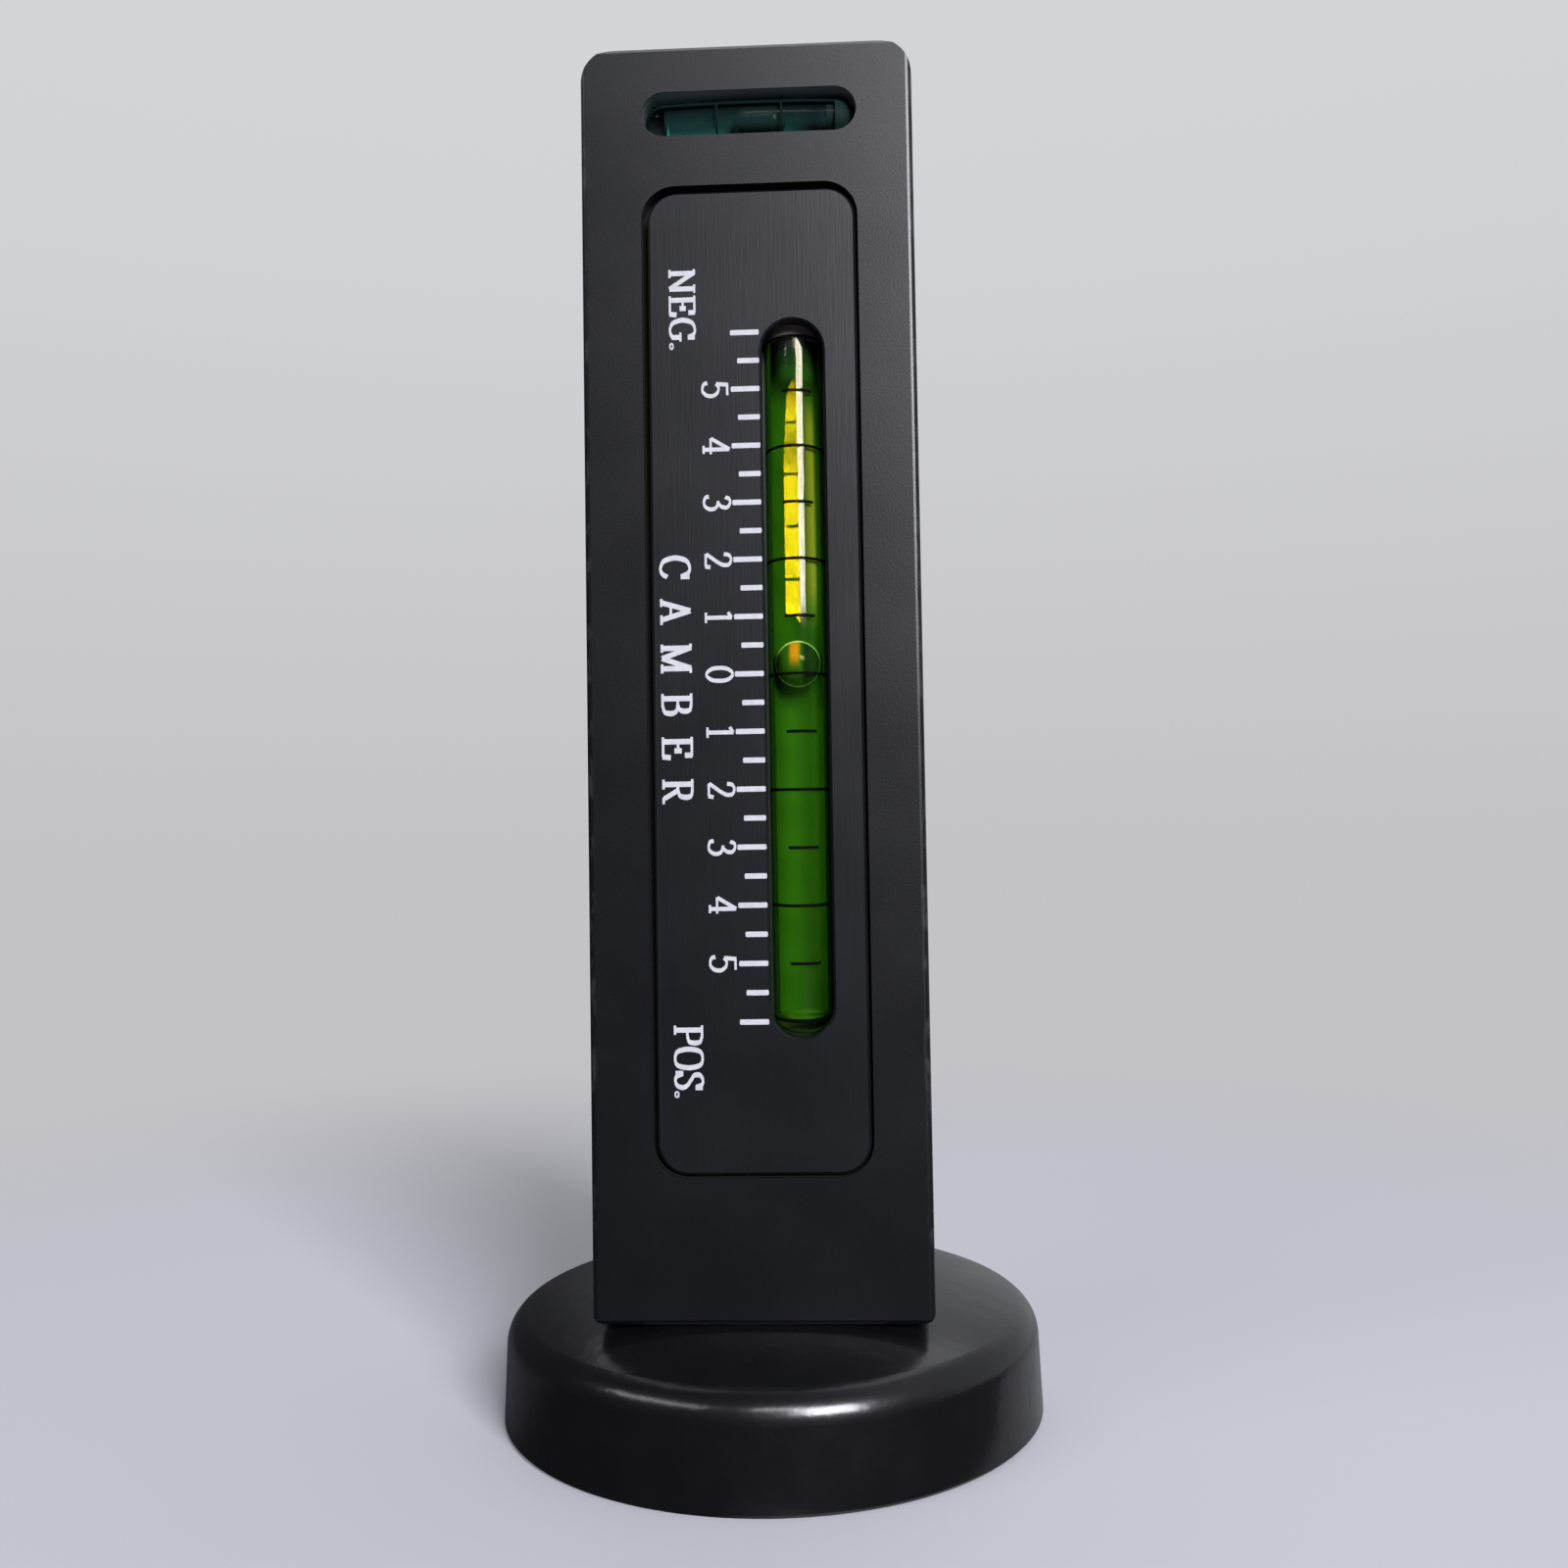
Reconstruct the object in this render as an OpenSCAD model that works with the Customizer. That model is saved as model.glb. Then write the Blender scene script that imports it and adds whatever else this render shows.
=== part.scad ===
// Camber and caster gauge: a square alloy block that stands on a pot magnet.
// A curved camber vial shows through the scale plate on the front, a short level vial lies in a
// slot above the plate, and a caster vial of the same make lies in a groove in each side.
// The cup's foot is z = 0, +Z runs up the block, and the front is -Y.

/* [Block] */
// Width of the block across its front
body_w = 32; // [30:0.5:36]
// Depth of the block from front to back
body_d = 32; // [30:0.5:36]
// Height of the block
body_h = 121.9; // [110:0.1:130]
// Radius of the two top corners, seen from the front
top_r = 3.5; // [1:0.1:4]
// Radius of the two bottom corners, seen from the front
foot_r = 1.2; // [0.4:0.1:2]
// Radius of the upright edges
edge_r = 0.6; // [0.2:0.1:1.5]
// Chamfer of the top and bottom edges of front and back
lip_c = 0.5; // [0.2:0.1:1]

/* [Scale plate] */
// Width of the pocket that the plate lies in
pocket_w = 20.8; // [19:0.1:24]
// Distance from the block's top down to the pocket
pocket_top_gap = 13.8; // [13:0.1:17]
// Distance from the block's foot up to the pocket
pocket_foot_gap = 13.6; // [11:0.1:17]
// Corner radius of the pocket
pocket_r = 3.3; // [2:0.1:5]
// How far right of the block's middle the pocket is
pocket_x = 0.2; // [-1:0.1:1]
// Thickness of the plate
plate_t = 1.5; // [1:0.1:2]
// Thickness of the tape that holds the plate
tape_t = 0.2; // [0.1:0.05:0.4]
// How far the plate's face lies below the block's
plate_sink = 0.1; // [0:0.05:0.3]
// Gap around the plate, were it in the middle of its pocket
plate_gap = 0.42; // [0.3:0.01:0.6]
// How far right and down of the middle the plate is stuck
plate_slip = 0.17; // [0:0.01:0.25]
// Chamfer of the plate's outer edge
plate_c = 0.25; // [0.1:0.05:0.5]
// Width of the plate's window
window_w = 5.95; // [5.8:0.05:6.4]
// Height of the window
window_h = 68.3; // [66:0.1:70]
// How far the window's middle lies below the scale's zero
window_drop = 0.2; // [0:0.05:0.4]
// Chamfer of the window's edge
window_c = 0.2; // [0.1:0.05:0.4]

/* [Camber and caster vials] */
// Travel of a bubble for one degree of tilt
deg_pitch = 5.465; // [5:0.005:6]
// Outer radius of a vial
vial_r = 2.8; // [2.5:0.05:2.85]
// Wall of a vial
vial_wall = 0.4; // [0.3:0.05:0.6]
// Reach of the bore below the zero, along the arc
vial_low = 32.65; // [30:0.05:33]
// Reach of the bore above the zero, along the arc
vial_high = 32.8; // [30:0.05:34]
// Thickness of the moulded lower end
vial_end_t = 1.5; // [1.4:0.1:3]
// Radius around the moulded lower end
vial_end_r = 1.3; // [0.5:0.1:1.4]
// Length of a plug inside the bore
plug_in = 1; // [0.5:0.1:2]
// Thickness of a plug's cap
plug_out = 2; // [1:0.1:3]
// Radius around a plug's cap
plug_edge_r = 0.6; // [0.2:0.1:1]
// Gap between a plug and the bore
plug_clear = 0.02; // [0.01:0.01:0.05]
// How far the front of a vial lies below the block's face
vial_sink = 0.3; // [0.2:0.05:0.5]
// Gap between a vial and the side or end of its groove
vial_gap = 0.3; // [0.15:0.05:0.6]
// Least thickness of the resin bed behind a vial
bed_t = 0.3; // [0.2:0.05:1]
// Gap between a bubble and the bore
bubble_gap = 0.15; // [0.1:0.01:0.3]
// How far right of the block's middle the camber vial is
camber_x = 4.1; // [3.5:0.1:4.5]
// Height of the camber bubble above the zero, along the arc
camber_reading = 1.2; // [-20:0.1:20]

/* [Level vial] */
// Distance of the level vial below the block's top
level_drop = 6.7; // [6:0.1:8]
// How far right of the block's middle the level vial is
level_x = 0.3; // [-1:0.1:1]
// Length of the level vial over its cap
level_len = 20.4; // [16:0.1:24]
// Outer radius of the level vial
level_r = 2.05; // [1.6:0.05:2.3]
// Wall of the level vial
level_wall = 0.5; // [0.3:0.05:0.7]
// Radius of the arc that the level vial bends along
level_arc = 120; // [80:5:200]
// Radius of the flat on the domed ends of the level vial and its plug
level_flat_r = 0.2; // [0.1:0.05:0.8]
// Straight length between the level vial's bore and the dome on either end
level_rim = 0.15; // [0.1:0.05:0.5]
// Length of the level plug inside the bore
level_in = 0.8; // [0.4:0.1:2]
// How far the front of the level vial lies below the block's face
level_sink = 0.35; // [0.1:0.05:0.6]
// Gap between the level vial and its slot
level_gap = 0.12; // [0.05:0.01:0.3]
// Length of the level bubble
level_bubble_l = 5.2; // [3.5:0.1:8]
// How far right of the vial's middle the level bubble is
level_reading = 0.9; // [-2:0.1:2]

/* [Magnet base] */
// Height of the cup, from its foot to the seat of the block
cup_h = 12.6; // [12:0.1:15]
// Radius of the cup below its shoulder
cup_wall_r = 27.1; // [24:0.1:29]
// How much wider the cup is at its foot than below its shoulder
cup_flare = 0.3; // [0.1:0.1:0.8]
// Radius of the flat seat on top of the cup
seat_r = 13.5; // [9:0.5:15]
// Radius of the arc that slopes away from the seat
crown_r = 32; // [28:1:44]
// Radius of the cup's shoulder
shoulder_r = 3; // [1.5:0.1:3.5]
// Chamfer around the cup's foot
cup_c = 0.4; // [0.2:0.1:0.8]
// Thickness of the cup's wall below its shoulder
cup_wall_t = 2.2; // [1.8:0.1:3]
// Gap around the ring magnet, filled with resin
magnet_gap = 0.6; // [0.3:0.1:1.2]
// Radius of the hole in the ring magnet
magnet_hole_r = 6.4; // [6.1:0.1:6.6]
// Height of the ring magnet
magnet_h = 7.8; // [7:0.1:7.9]
// Chamfer around the ring magnet's edges
magnet_c = 0.5; // [0.2:0.1:0.8]
// How far the ring magnet lies inside the cup's foot
magnet_sink = 0.2; // [0.1:0.05:0.4]
// Resin between the ring magnet and the cup's roof
resin_t = 0.2; // [0.1:0.05:0.3]

/* [Base screw] */
// Radius of the screw's shank
screw_r = 3; // [2.5:0.05:3.1]
// Length of the screw under its head
screw_l = 18; // [15:0.5:20]
// Radius of the screw's head
head_r = 5; // [4.5:0.1:5.4]
// Height of the screw's head
head_h = 4; // [3:0.1:4.4]
// Chamfer around the screw's head
head_c = 0.4; // [0.2:0.1:0.8]
// Width across the flats of the hexagon socket
hex_w = 4; // [3:0.5:5]
// Depth of the hexagon socket
hex_depth = 2.2; // [1:0.1:2.6]
// Outer radius of the split washer
washer_r = 4.9; // [4.5:0.1:5.4]
// Thickness of the split washer
washer_t = 1.6; // [1:0.1:1.8]
// Width of the split in the washer
washer_split = 0.7; // [0.4:0.1:1.2]
// Gap between the screw and what it passes through
screw_clear = 0.3; // [0.15:0.05:0.5]
// Gap between the screw and its insert, in place of the thread
thread_clear = 0.05; // [0.02:0.01:0.1]
// Outer radius of the threaded insert
insert_r = 4.2; // [4:0.1:5]
// Length of the threaded insert
insert_l = 12; // [8:0.5:16]
// How far the insert lies inside the block's foot
insert_sink = 0.3; // [0.1:0.1:1]
// Depth of the hole beyond the insert
hole_extra = 2.5; // [2:0.1:4]

/* [Hidden] */

// How far a cut runs past the face that it opens
over = 1;
// Facets of small rounds, and of the long arcs that the vials bend along
small_fn = 96;
arc_fn = 720;

pocket_h = body_h - pocket_top_gap - pocket_foot_gap;

body_z = cup_h;
// The scale's zero is level with the pocket's middle
zero_z = body_z + pocket_foot_gap + pocket_h / 2;
top_z = body_z + body_h;
front_n = body_d / 2;
side_n = body_w / 2;
pocket_depth = plate_sink + plate_t + tape_t;

plate_w = pocket_w - 2 * plate_gap;
plate_h = pocket_h - 2 * plate_gap;
plate_r = pocket_r - plate_gap;
plate_back_n = front_n - pocket_depth + tape_t;

vial_arc = deg_pitch * 180 / PI;

level_end_r = level_r - level_flat_r;
level_end_t = level_end_r + level_rim;
level_reach = level_len / 2 - level_end_t;

// A vial's sizes: its arc, outer radius, bore, reach below and above its middle, the thickness and
// edge radius of its closed end, its plug's length in the bore, and its plug's cap and edge radius
curved = [
    vial_arc, vial_r, vial_r - vial_wall, vial_low, vial_high,
    vial_end_t, vial_end_r, plug_in, plug_out, plug_edge_r
];
short = [
    level_arc, level_r, level_r - level_wall, level_reach, level_reach,
    level_end_t, level_end_r, level_in, level_end_t, level_end_r
];
function arc_of(v) = v[0];
function outer_of(v) = v[1];
function bore_of(v) = v[2];
function low_of(v) = v[3];
function high_of(v) = v[4];
function end_of(v) = v[5];
function edge_of(v) = v[6];
function stub_of(v) = v[7];
function cap_of(v) = v[8];
function cap_edge_of(v) = v[9];
// Angle of a length along a vial's arc
function turn_of(v, length) = length / arc_of(v) * 180 / PI;
// Length of a groove beyond an end of the vial, so that its round end clears the end's edge
function room_of(v, gap, edge) =
    outer_of(v) + gap - edge - sqrt(pow(outer_of(v) - edge + gap / 2, 2) - pow(outer_of(v) - edge, 2));
// How far a vial's far end has dropped from the height of its middle
function sag_of(v) = arc_of(v) * (1 - cos(turn_of(v, max(low_of(v) + end_of(v), high_of(v) + cap_of(v)))));

cup_foot_r = cup_wall_r + cup_flare;
cup_bore_r = cup_wall_r - cup_wall_t;
magnet_r = cup_bore_r - magnet_gap;
roof_z = magnet_sink + magnet_h + resin_t;
crown_turn = asin((cup_wall_r - shoulder_r - seat_r) / (crown_r - shoulder_r));
crown_end = [seat_r + crown_r * sin(crown_turn), cup_h - crown_r * (1 - cos(crown_turn))];
shoulder_at = [cup_wall_r - shoulder_r, crown_end[1] - shoulder_r * cos(crown_turn)];
// Where the tangents at the two ends of the crown's arc meet
crown_tip = [seat_r + crown_r * tan(crown_turn / 2), cup_h];
head_z = roof_z - washer_t;
thread_r = screw_r + thread_clear;
washer_hole_r = screw_r + screw_clear / 2;

// Flat shapes

module rounded(w, h, r) {
    square([w - 2 * r, h], center = true);
    square([w, h - 2 * r], center = true);
    for (x = [-1, 1], y = [-1, 1])
        translate([x * (w / 2 - r), y * (h / 2 - r)])
            circle(r, $fn = small_fn);
}

// An upright slot of the given width from y0 to y1
module slot(w, y0, y1) {
    translate([-w / 2, y0 + w / 2])
        square([w, y1 - y0 - w]);
    for (y = [y0 + w / 2, y1 - w / 2])
        translate([0, y])
            circle(w / 2, $fn = small_fn);
}

module trapezium(w, top_w, h) {
    polygon([[-w / 2, 0], [w / 2, 0], [top_w / 2, h], [-top_w / 2, h]]);
}

// Places. On a face, x is right, y is up and z is the distance out from the block's axis.

module on_face(turn) {
    rotate([90, 0, turn])
        children();
}

module at_camber() {
    translate([camber_x, 0, zero_z])
        on_face(0)
            children();
}

module at_right() {
    translate([0, 0, zero_z])
        on_face(90)
            children();
}

module at_left() {
    translate([0, 0, zero_z])
        on_face(-90)
            children();
}

// The level vial lies across the front, so its own y runs to the right.
module at_level() {
    translate([level_x, 0, top_z - level_drop])
        on_face(0)
            rotate([0, 0, -90])
                children();
}

module at_plate() {
    translate([pocket_x + plate_slip, 0, zero_z - plate_slip])
        on_face(0)
            children();
}

// Vials. Each is drawn with its middle line through y = 0 at height n, bent back from there.

module along_arc(v, n, from, to) {
    translate([0, 0, n - arc_of(v)])
        rotate([0, -90, 0])
            rotate([0, 0, turn_of(v, from)])
                rotate_extrude(angle = turn_of(v, to - from), $fn = arc_fn)
                    translate([arc_of(v), 0])
                        children();
}

// Something drawn around z, set on the arc at a length from the middle, pointing up the vial
module on_arc(v, n, length) {
    translate([0, 0, n - arc_of(v)])
        rotate([-turn_of(v, length), 0, 0])
            translate([0, 0, arc_of(v)])
                rotate([-90, 0, 0])
                    children();
}

// Outline of an end, drawn down from y = 0: t thick, with its far edge rounded
module end_outline(r, t, edge) {
    intersection() {
        translate([0, -t])
            square([r, t]);
        union() {
            translate([0, edge - t])
                square([r, t]);
            translate([0, -t])
                square([r - edge, t]);
            translate([r - edge, edge - t])
                circle(edge, $fn = small_fn);
        }
    }
}

module vial_outside(v, n) {
    along_arc(v, n, -low_of(v), high_of(v))
        circle(outer_of(v), $fn = small_fn);
    on_arc(v, n, -low_of(v))
        rotate_extrude($fn = small_fn)
            end_outline(outer_of(v), end_of(v), edge_of(v));
}

module vial_tube(v, n) {
    difference() {
        vial_outside(v, n);
        along_arc(v, n, -low_of(v), high_of(v) + over)
            circle(bore_of(v), $fn = small_fn);
    }
}

module vial_plug(v, n) {
    on_arc(v, n, high_of(v))
        rotate([180, 0, 0])
            rotate_extrude($fn = small_fn) {
                end_outline(outer_of(v), cap_of(v), cap_edge_of(v));
                translate([0, -cap_of(v) / 2])
                    square([bore_of(v) - plug_clear, cap_of(v) / 2 + stub_of(v)]);
            }
}

module vial_groove(v, n, gap, face_n) {
    floor_n = n - outer_of(v) - sag_of(v) - bed_t;
    translate([0, 0, floor_n])
        linear_extrude(face_n - floor_n)
            slot(
                2 * (outer_of(v) + gap),
                -low_of(v) - end_of(v) - room_of(v, gap, edge_of(v)),
                high_of(v) + cap_of(v) + room_of(v, gap, cap_edge_of(v))
            );
}

// Resin that fills the groove behind the vial up to the vial's middle line
module vial_bed(v, n, gap) {
    difference() {
        intersection() {
            vial_groove(v, n, gap, n);
            translate([-side_n, 0, n - arc_of(v)])
                rotate([0, 90, 0])
                    cylinder(body_w, arc_of(v), arc_of(v), $fn = arc_fn);
        }
        vial_outside(v, n);
        vial_plug(v, n);
    }
}

module round_bubble(v, n, length) {
    on_arc(v, n, length)
        sphere(bore_of(v) - bubble_gap, $fn = small_fn);
}

// A round-ended bubble, so short beside the vial's arc that it is straight
module long_bubble(v, n, length, l) {
    r = bore_of(v) - bubble_gap;
    on_arc(v, n, length)
        rotate_extrude($fn = small_fn)
            intersection() {
                slot(2 * r, -l / 2, l / 2);
                translate([0, -l / 2])
                    square([r, l]);
            }
}

camber_n = front_n - vial_sink - vial_r;
caster_n = side_n - vial_sink - vial_r;
level_n = front_n - level_sink - level_r;

// Block

module block() {
    intersection() {
        translate([0, body_d / 2, body_z])
            rotate([90, 0, 0])
                linear_extrude(body_d)
                    front_outline();
        translate([0, 0, body_z])
            linear_extrude(body_h)
                rounded(body_w, body_d, edge_r);
        translate([-body_w / 2, 0, body_z])
            rotate([90, 0, 90])
                linear_extrude(body_w)
                    side_outline();
    }
}

module front_outline() {
    translate([-body_w / 2, foot_r])
        square([body_w, body_h - foot_r - top_r]);
    translate([-body_w / 2 + foot_r, 0])
        square([body_w - 2 * foot_r, body_h / 2]);
    translate([-body_w / 2 + top_r, body_h / 2])
        square([body_w - 2 * top_r, body_h / 2]);
    for (side = [-1, 1]) {
        translate([side * (body_w / 2 - foot_r), foot_r])
            circle(foot_r, $fn = small_fn);
        translate([side * (body_w / 2 - top_r), body_h - top_r])
            circle(top_r, $fn = small_fn);
    }
}

module side_outline() {
    half = body_d / 2;
    polygon([
        [-half + lip_c, 0], [half - lip_c, 0], [half, lip_c], [half, body_h - lip_c],
        [half - lip_c, body_h], [-half + lip_c, body_h], [-half, body_h - lip_c], [-half, lip_c]
    ]);
}

module body() {
    color("#26272a")
        difference() {
            block();
            translate([pocket_x, 0, zero_z])
                on_face(0)
                    translate([0, 0, front_n - pocket_depth])
                        linear_extrude(pocket_depth + over)
                            rounded(pocket_w, pocket_h, pocket_r);
            at_camber()
                vial_groove(curved, camber_n, vial_gap, front_n);
            at_right()
                vial_groove(curved, caster_n, vial_gap, side_n + over);
            at_left()
                vial_groove(curved, caster_n, vial_gap, side_n + over);
            at_level()
                vial_groove(short, level_n, level_gap, front_n + over);
            translate([0, 0, body_z - over])
                cylinder(insert_sink + insert_l + over, insert_r, insert_r, $fn = small_fn);
            translate([0, 0, body_z])
                cylinder(insert_sink + insert_l + hole_extra, thread_r, thread_r, $fn = small_fn);
        }
}

// Scale plate

// A slab with its upper edge chamfered
module bevelled_slab(w, h, r, t, c) {
    linear_extrude(t - c)
        rounded(w, h, r);
    translate([0, 0, t - c]) {
        translate([0, h / 2 - r, 0])
            rotate([90, 0, 0])
                linear_extrude(h - 2 * r)
                    trapezium(w, w - 2 * c, c);
        translate([r - w / 2, 0, 0])
            rotate([90, 0, 90])
                linear_extrude(w - 2 * r)
                    trapezium(h, h - 2 * c, c);
        for (x = [-1, 1], y = [-1, 1])
            translate([x * (w / 2 - r), y * (h / 2 - r), 0])
                cylinder(c, r, r - c, $fn = small_fn);
    }
}

// A window with its upper edge chamfered, cut down from z = 0
module bevelled_window(w, h, t, c) {
    translate([0, 0, -t - over])
        linear_extrude(t + 2 * over)
            slot(w, -h / 2, h / 2);
    translate([0, h / 2 - w / 2, -c])
        rotate([90, 0, 0])
            linear_extrude(h - w)
                trapezium(w, w + 2 * (c + over), c + over);
    for (y = [-1, 1])
        translate([0, y * (h / 2 - w / 2), -c])
            cylinder(c + over, w / 2, w / 2 + c + over, $fn = small_fn);
}

module scale_plate() {
    color("#3a3c40")
        difference() {
            at_plate()
                translate([0, 0, plate_back_n])
                    bevelled_slab(plate_w, plate_h, plate_r, plate_t, plate_c);
            at_camber()
                translate([0, -window_drop, plate_back_n + plate_t])
                    bevelled_window(window_w, window_h, plate_t, window_c);
        }
}

module plate_tape() {
    color("#d8d5c8")
        difference() {
            at_plate()
                translate([0, 0, front_n - pocket_depth])
                    linear_extrude(tape_t)
                        rounded(plate_w, plate_h, plate_r);
            at_camber()
                vial_groove(curved, camber_n, vial_gap, front_n);
        }
}

// Magnet base

module cup_outline() {
    polygon([
        [0, 0], [cup_foot_r - cup_c, 0], [cup_foot_r, cup_c], [cup_wall_r, shoulder_at[1]],
        shoulder_at, crown_end, [seat_r, cup_h], [0, cup_h]
    ]);
    intersection() {
        translate([seat_r, cup_h - crown_r])
            circle(crown_r, $fn = arc_fn);
        polygon([[seat_r, cup_h], crown_end, crown_tip]);
    }
    intersection() {
        translate(shoulder_at)
            circle(shoulder_r, $fn = small_fn);
        translate([seat_r, 0])
            square([cup_foot_r, cup_h]);
    }
}

module magnet_cup() {
    color("#17181a")
        difference() {
            rotate_extrude($fn = 2 * small_fn)
                cup_outline();
            translate([0, 0, -over])
                cylinder(roof_z + over, cup_bore_r, cup_bore_r, $fn = 2 * small_fn);
            cylinder(cup_h + over, screw_r + screw_clear, screw_r + screw_clear, $fn = small_fn);
        }
}

module magnet_outline() {
    translate([magnet_hole_r, 0]) {
        w = magnet_r - magnet_hole_r;
        polygon([
            [magnet_c, 0], [w - magnet_c, 0], [w, magnet_c], [w, magnet_h - magnet_c],
            [w - magnet_c, magnet_h], [magnet_c, magnet_h], [0, magnet_h - magnet_c], [0, magnet_c]
        ]);
    }
}

module ring_magnet() {
    color("#4a4a4c")
        translate([0, 0, magnet_sink])
            rotate_extrude($fn = 2 * small_fn)
                magnet_outline();
}

module magnet_resin() {
    color("#2c2a28")
        difference() {
            translate([0, 0, magnet_sink])
                cylinder(roof_z - magnet_sink, cup_bore_r, cup_bore_r, $fn = 2 * small_fn);
            cylinder(cup_h, magnet_hole_r + magnet_c, magnet_hole_r + magnet_c, $fn = small_fn);
            translate([0, 0, magnet_sink])
                rotate_extrude($fn = 2 * small_fn)
                    magnet_outline();
        }
}

module base_screw() {
    color("#8d8f92")
        difference() {
            union() {
                translate([0, 0, head_z - head_h])
                    cylinder(head_c, head_r - head_c, head_r, $fn = small_fn);
                translate([0, 0, head_z - head_h + head_c])
                    cylinder(head_h - head_c, head_r, head_r, $fn = small_fn);
                translate([0, 0, head_z])
                    cylinder(screw_l, screw_r, screw_r, $fn = small_fn);
            }
            translate([0, 0, head_z - head_h - over])
                rotate([0, 0, 30])
                    cylinder(hex_depth + over, hex_w / sqrt(3), hex_w / sqrt(3), $fn = 6);
        }
}

module split_washer() {
    color("#9a9c9f")
        translate([0, 0, roof_z - washer_t])
            difference() {
                cylinder(washer_t, washer_r, washer_r, $fn = small_fn);
                translate([0, 0, -over])
                    cylinder(washer_t + 2 * over, washer_hole_r, washer_hole_r, $fn = small_fn);
                translate([0, -washer_split / 2, -over])
                    cube([washer_r + over, washer_split, washer_t + 2 * over]);
            }
}

module thread_insert() {
    color("#b4b3ae")
        translate([0, 0, body_z + insert_sink])
            difference() {
                cylinder(insert_l, insert_r, insert_r, $fn = small_fn);
                translate([0, 0, -over])
                    cylinder(insert_l + 2 * over, thread_r, thread_r, $fn = small_fn);
            }
}

// The nodes of the vials

module camber_vial() {
    color("#2f7d33", 0.6)
        at_camber()
            vial_tube(curved, camber_n);
}

module camber_plug() {
    color("#1c1c1e")
        at_camber()
            vial_plug(curved, camber_n);
}

module camber_bubble() {
    color("#d6e86a")
        at_camber()
            round_bubble(curved, camber_n, camber_reading);
}

module camber_bed() {
    color("#3b3d38")
        at_camber()
            vial_bed(curved, camber_n, vial_gap);
}

module level_vial() {
    color("#2a6e62", 0.6)
        at_level()
            vial_tube(short, level_n);
}

module level_plug() {
    color("#1c1c1e")
        at_level()
            vial_plug(short, level_n);
}

module level_bubble() {
    color("#b9c2bd")
        at_level()
            long_bubble(short, level_n, level_reading, level_bubble_l);
}

module level_bed() {
    color("#3b3d38")
        at_level()
            vial_bed(short, level_n, level_gap);
}

module caster_vial() {
    color("#2f7d33", 0.6)
        vial_tube(curved, caster_n);
}

module caster_plug() {
    color("#1c1c1e")
        vial_plug(curved, caster_n);
}

module caster_bubble() {
    color("#d6e86a")
        round_bubble(curved, caster_n, 0);
}

module caster_bed() {
    color("#3b3d38")
        vial_bed(curved, caster_n, vial_gap);
}

body();
scale_plate();
plate_tape();
camber_vial();
camber_plug();
camber_bubble();
camber_bed();
level_vial();
level_plug();
level_bubble();
level_bed();
at_left() caster_vial();  // left_caster_vial
at_left() caster_plug();  // left_caster_plug
at_left() caster_bubble();  // left_caster_bubble
at_left() caster_bed();  // left_caster_bed
at_right() caster_vial();  // right_caster_vial
at_right() caster_plug();  // right_caster_plug
at_right() caster_bubble();  // right_caster_bubble
at_right() caster_bed();  // right_caster_bed
magnet_cup();
ring_magnet();
magnet_resin();
base_screw();
split_washer();
thread_insert();
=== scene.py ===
import math

import bpy
import numpy as np
from mathutils import Matrix


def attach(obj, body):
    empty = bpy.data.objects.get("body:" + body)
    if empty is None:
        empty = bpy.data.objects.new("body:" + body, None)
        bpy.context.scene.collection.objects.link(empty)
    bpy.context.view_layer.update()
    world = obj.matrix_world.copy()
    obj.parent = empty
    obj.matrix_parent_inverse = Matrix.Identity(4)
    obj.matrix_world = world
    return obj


mm = 0.001
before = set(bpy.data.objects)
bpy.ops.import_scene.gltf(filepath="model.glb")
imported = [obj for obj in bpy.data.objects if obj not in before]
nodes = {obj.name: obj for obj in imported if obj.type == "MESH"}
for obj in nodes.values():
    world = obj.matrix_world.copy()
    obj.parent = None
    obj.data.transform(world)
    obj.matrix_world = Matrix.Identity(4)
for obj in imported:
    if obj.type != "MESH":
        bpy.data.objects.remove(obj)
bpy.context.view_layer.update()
print("frame loaded:", len(nodes), "nodes")


# An sRGB hex colour as linear numbers
def linear(hexText):
    values = np.array([int(hexText[i:i + 2], 16) for i in (1, 3, 5)]) / 255
    values = np.where(values <= 0.04045, values / 12.92, ((values + 0.055) / 1.055) ** 2.4)
    return (*values.tolist(), 1.0)


# One shader node: settings are its properties or socket values, links are the outputs that feed it
def addNode(tree, kind, settings=None, links=None):
    node = tree.nodes.new(kind)
    for name, value in (settings or {}).items():
        if isinstance(name, str) and hasattr(node, name):
            setattr(node, name, value)
        else:
            node.inputs[name].default_value = value
    for name, source in (links or {}).items():
        tree.links.new(source, node.inputs[name])
    return node


def newMaterial(name):
    material = bpy.data.materials.new(name)
    material.use_nodes = True
    material.node_tree.nodes.clear()
    return material, material.node_tree


def endMaterial(tree, shader):
    addNode(tree, "ShaderNodeOutputMaterial", links={"Surface": shader})


# A surface's place in metres, as the X, Y and Z outputs of its Object coordinates, which are the frame's
def spotOf(tree):
    spot = addNode(tree, "ShaderNodeTexCoord").outputs["Object"]
    return addNode(tree, "ShaderNodeSeparateXYZ", links={"Vector": spot}).outputs


# Noise on Object coordinates whose features are about sizeMm wide, stretched by stretch
def noiseOf(tree, sizeMm, stretch=(1, 1, 1), detail=4.0, roughness=0.55):
    place = addNode(tree, "ShaderNodeTexCoord")
    scale = tuple(1 / (sizeMm * mm * part) for part in stretch)
    mapping = addNode(tree, "ShaderNodeMapping", {"Scale": scale}, {"Vector": place.outputs["Object"]})
    return addNode(
        tree, "ShaderNodeTexNoise",
        {"Scale": 1.0, "Detail": detail, "Roughness": roughness}, {"Vector": mapping.outputs["Vector"]},
    ).outputs["Fac"]


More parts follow.
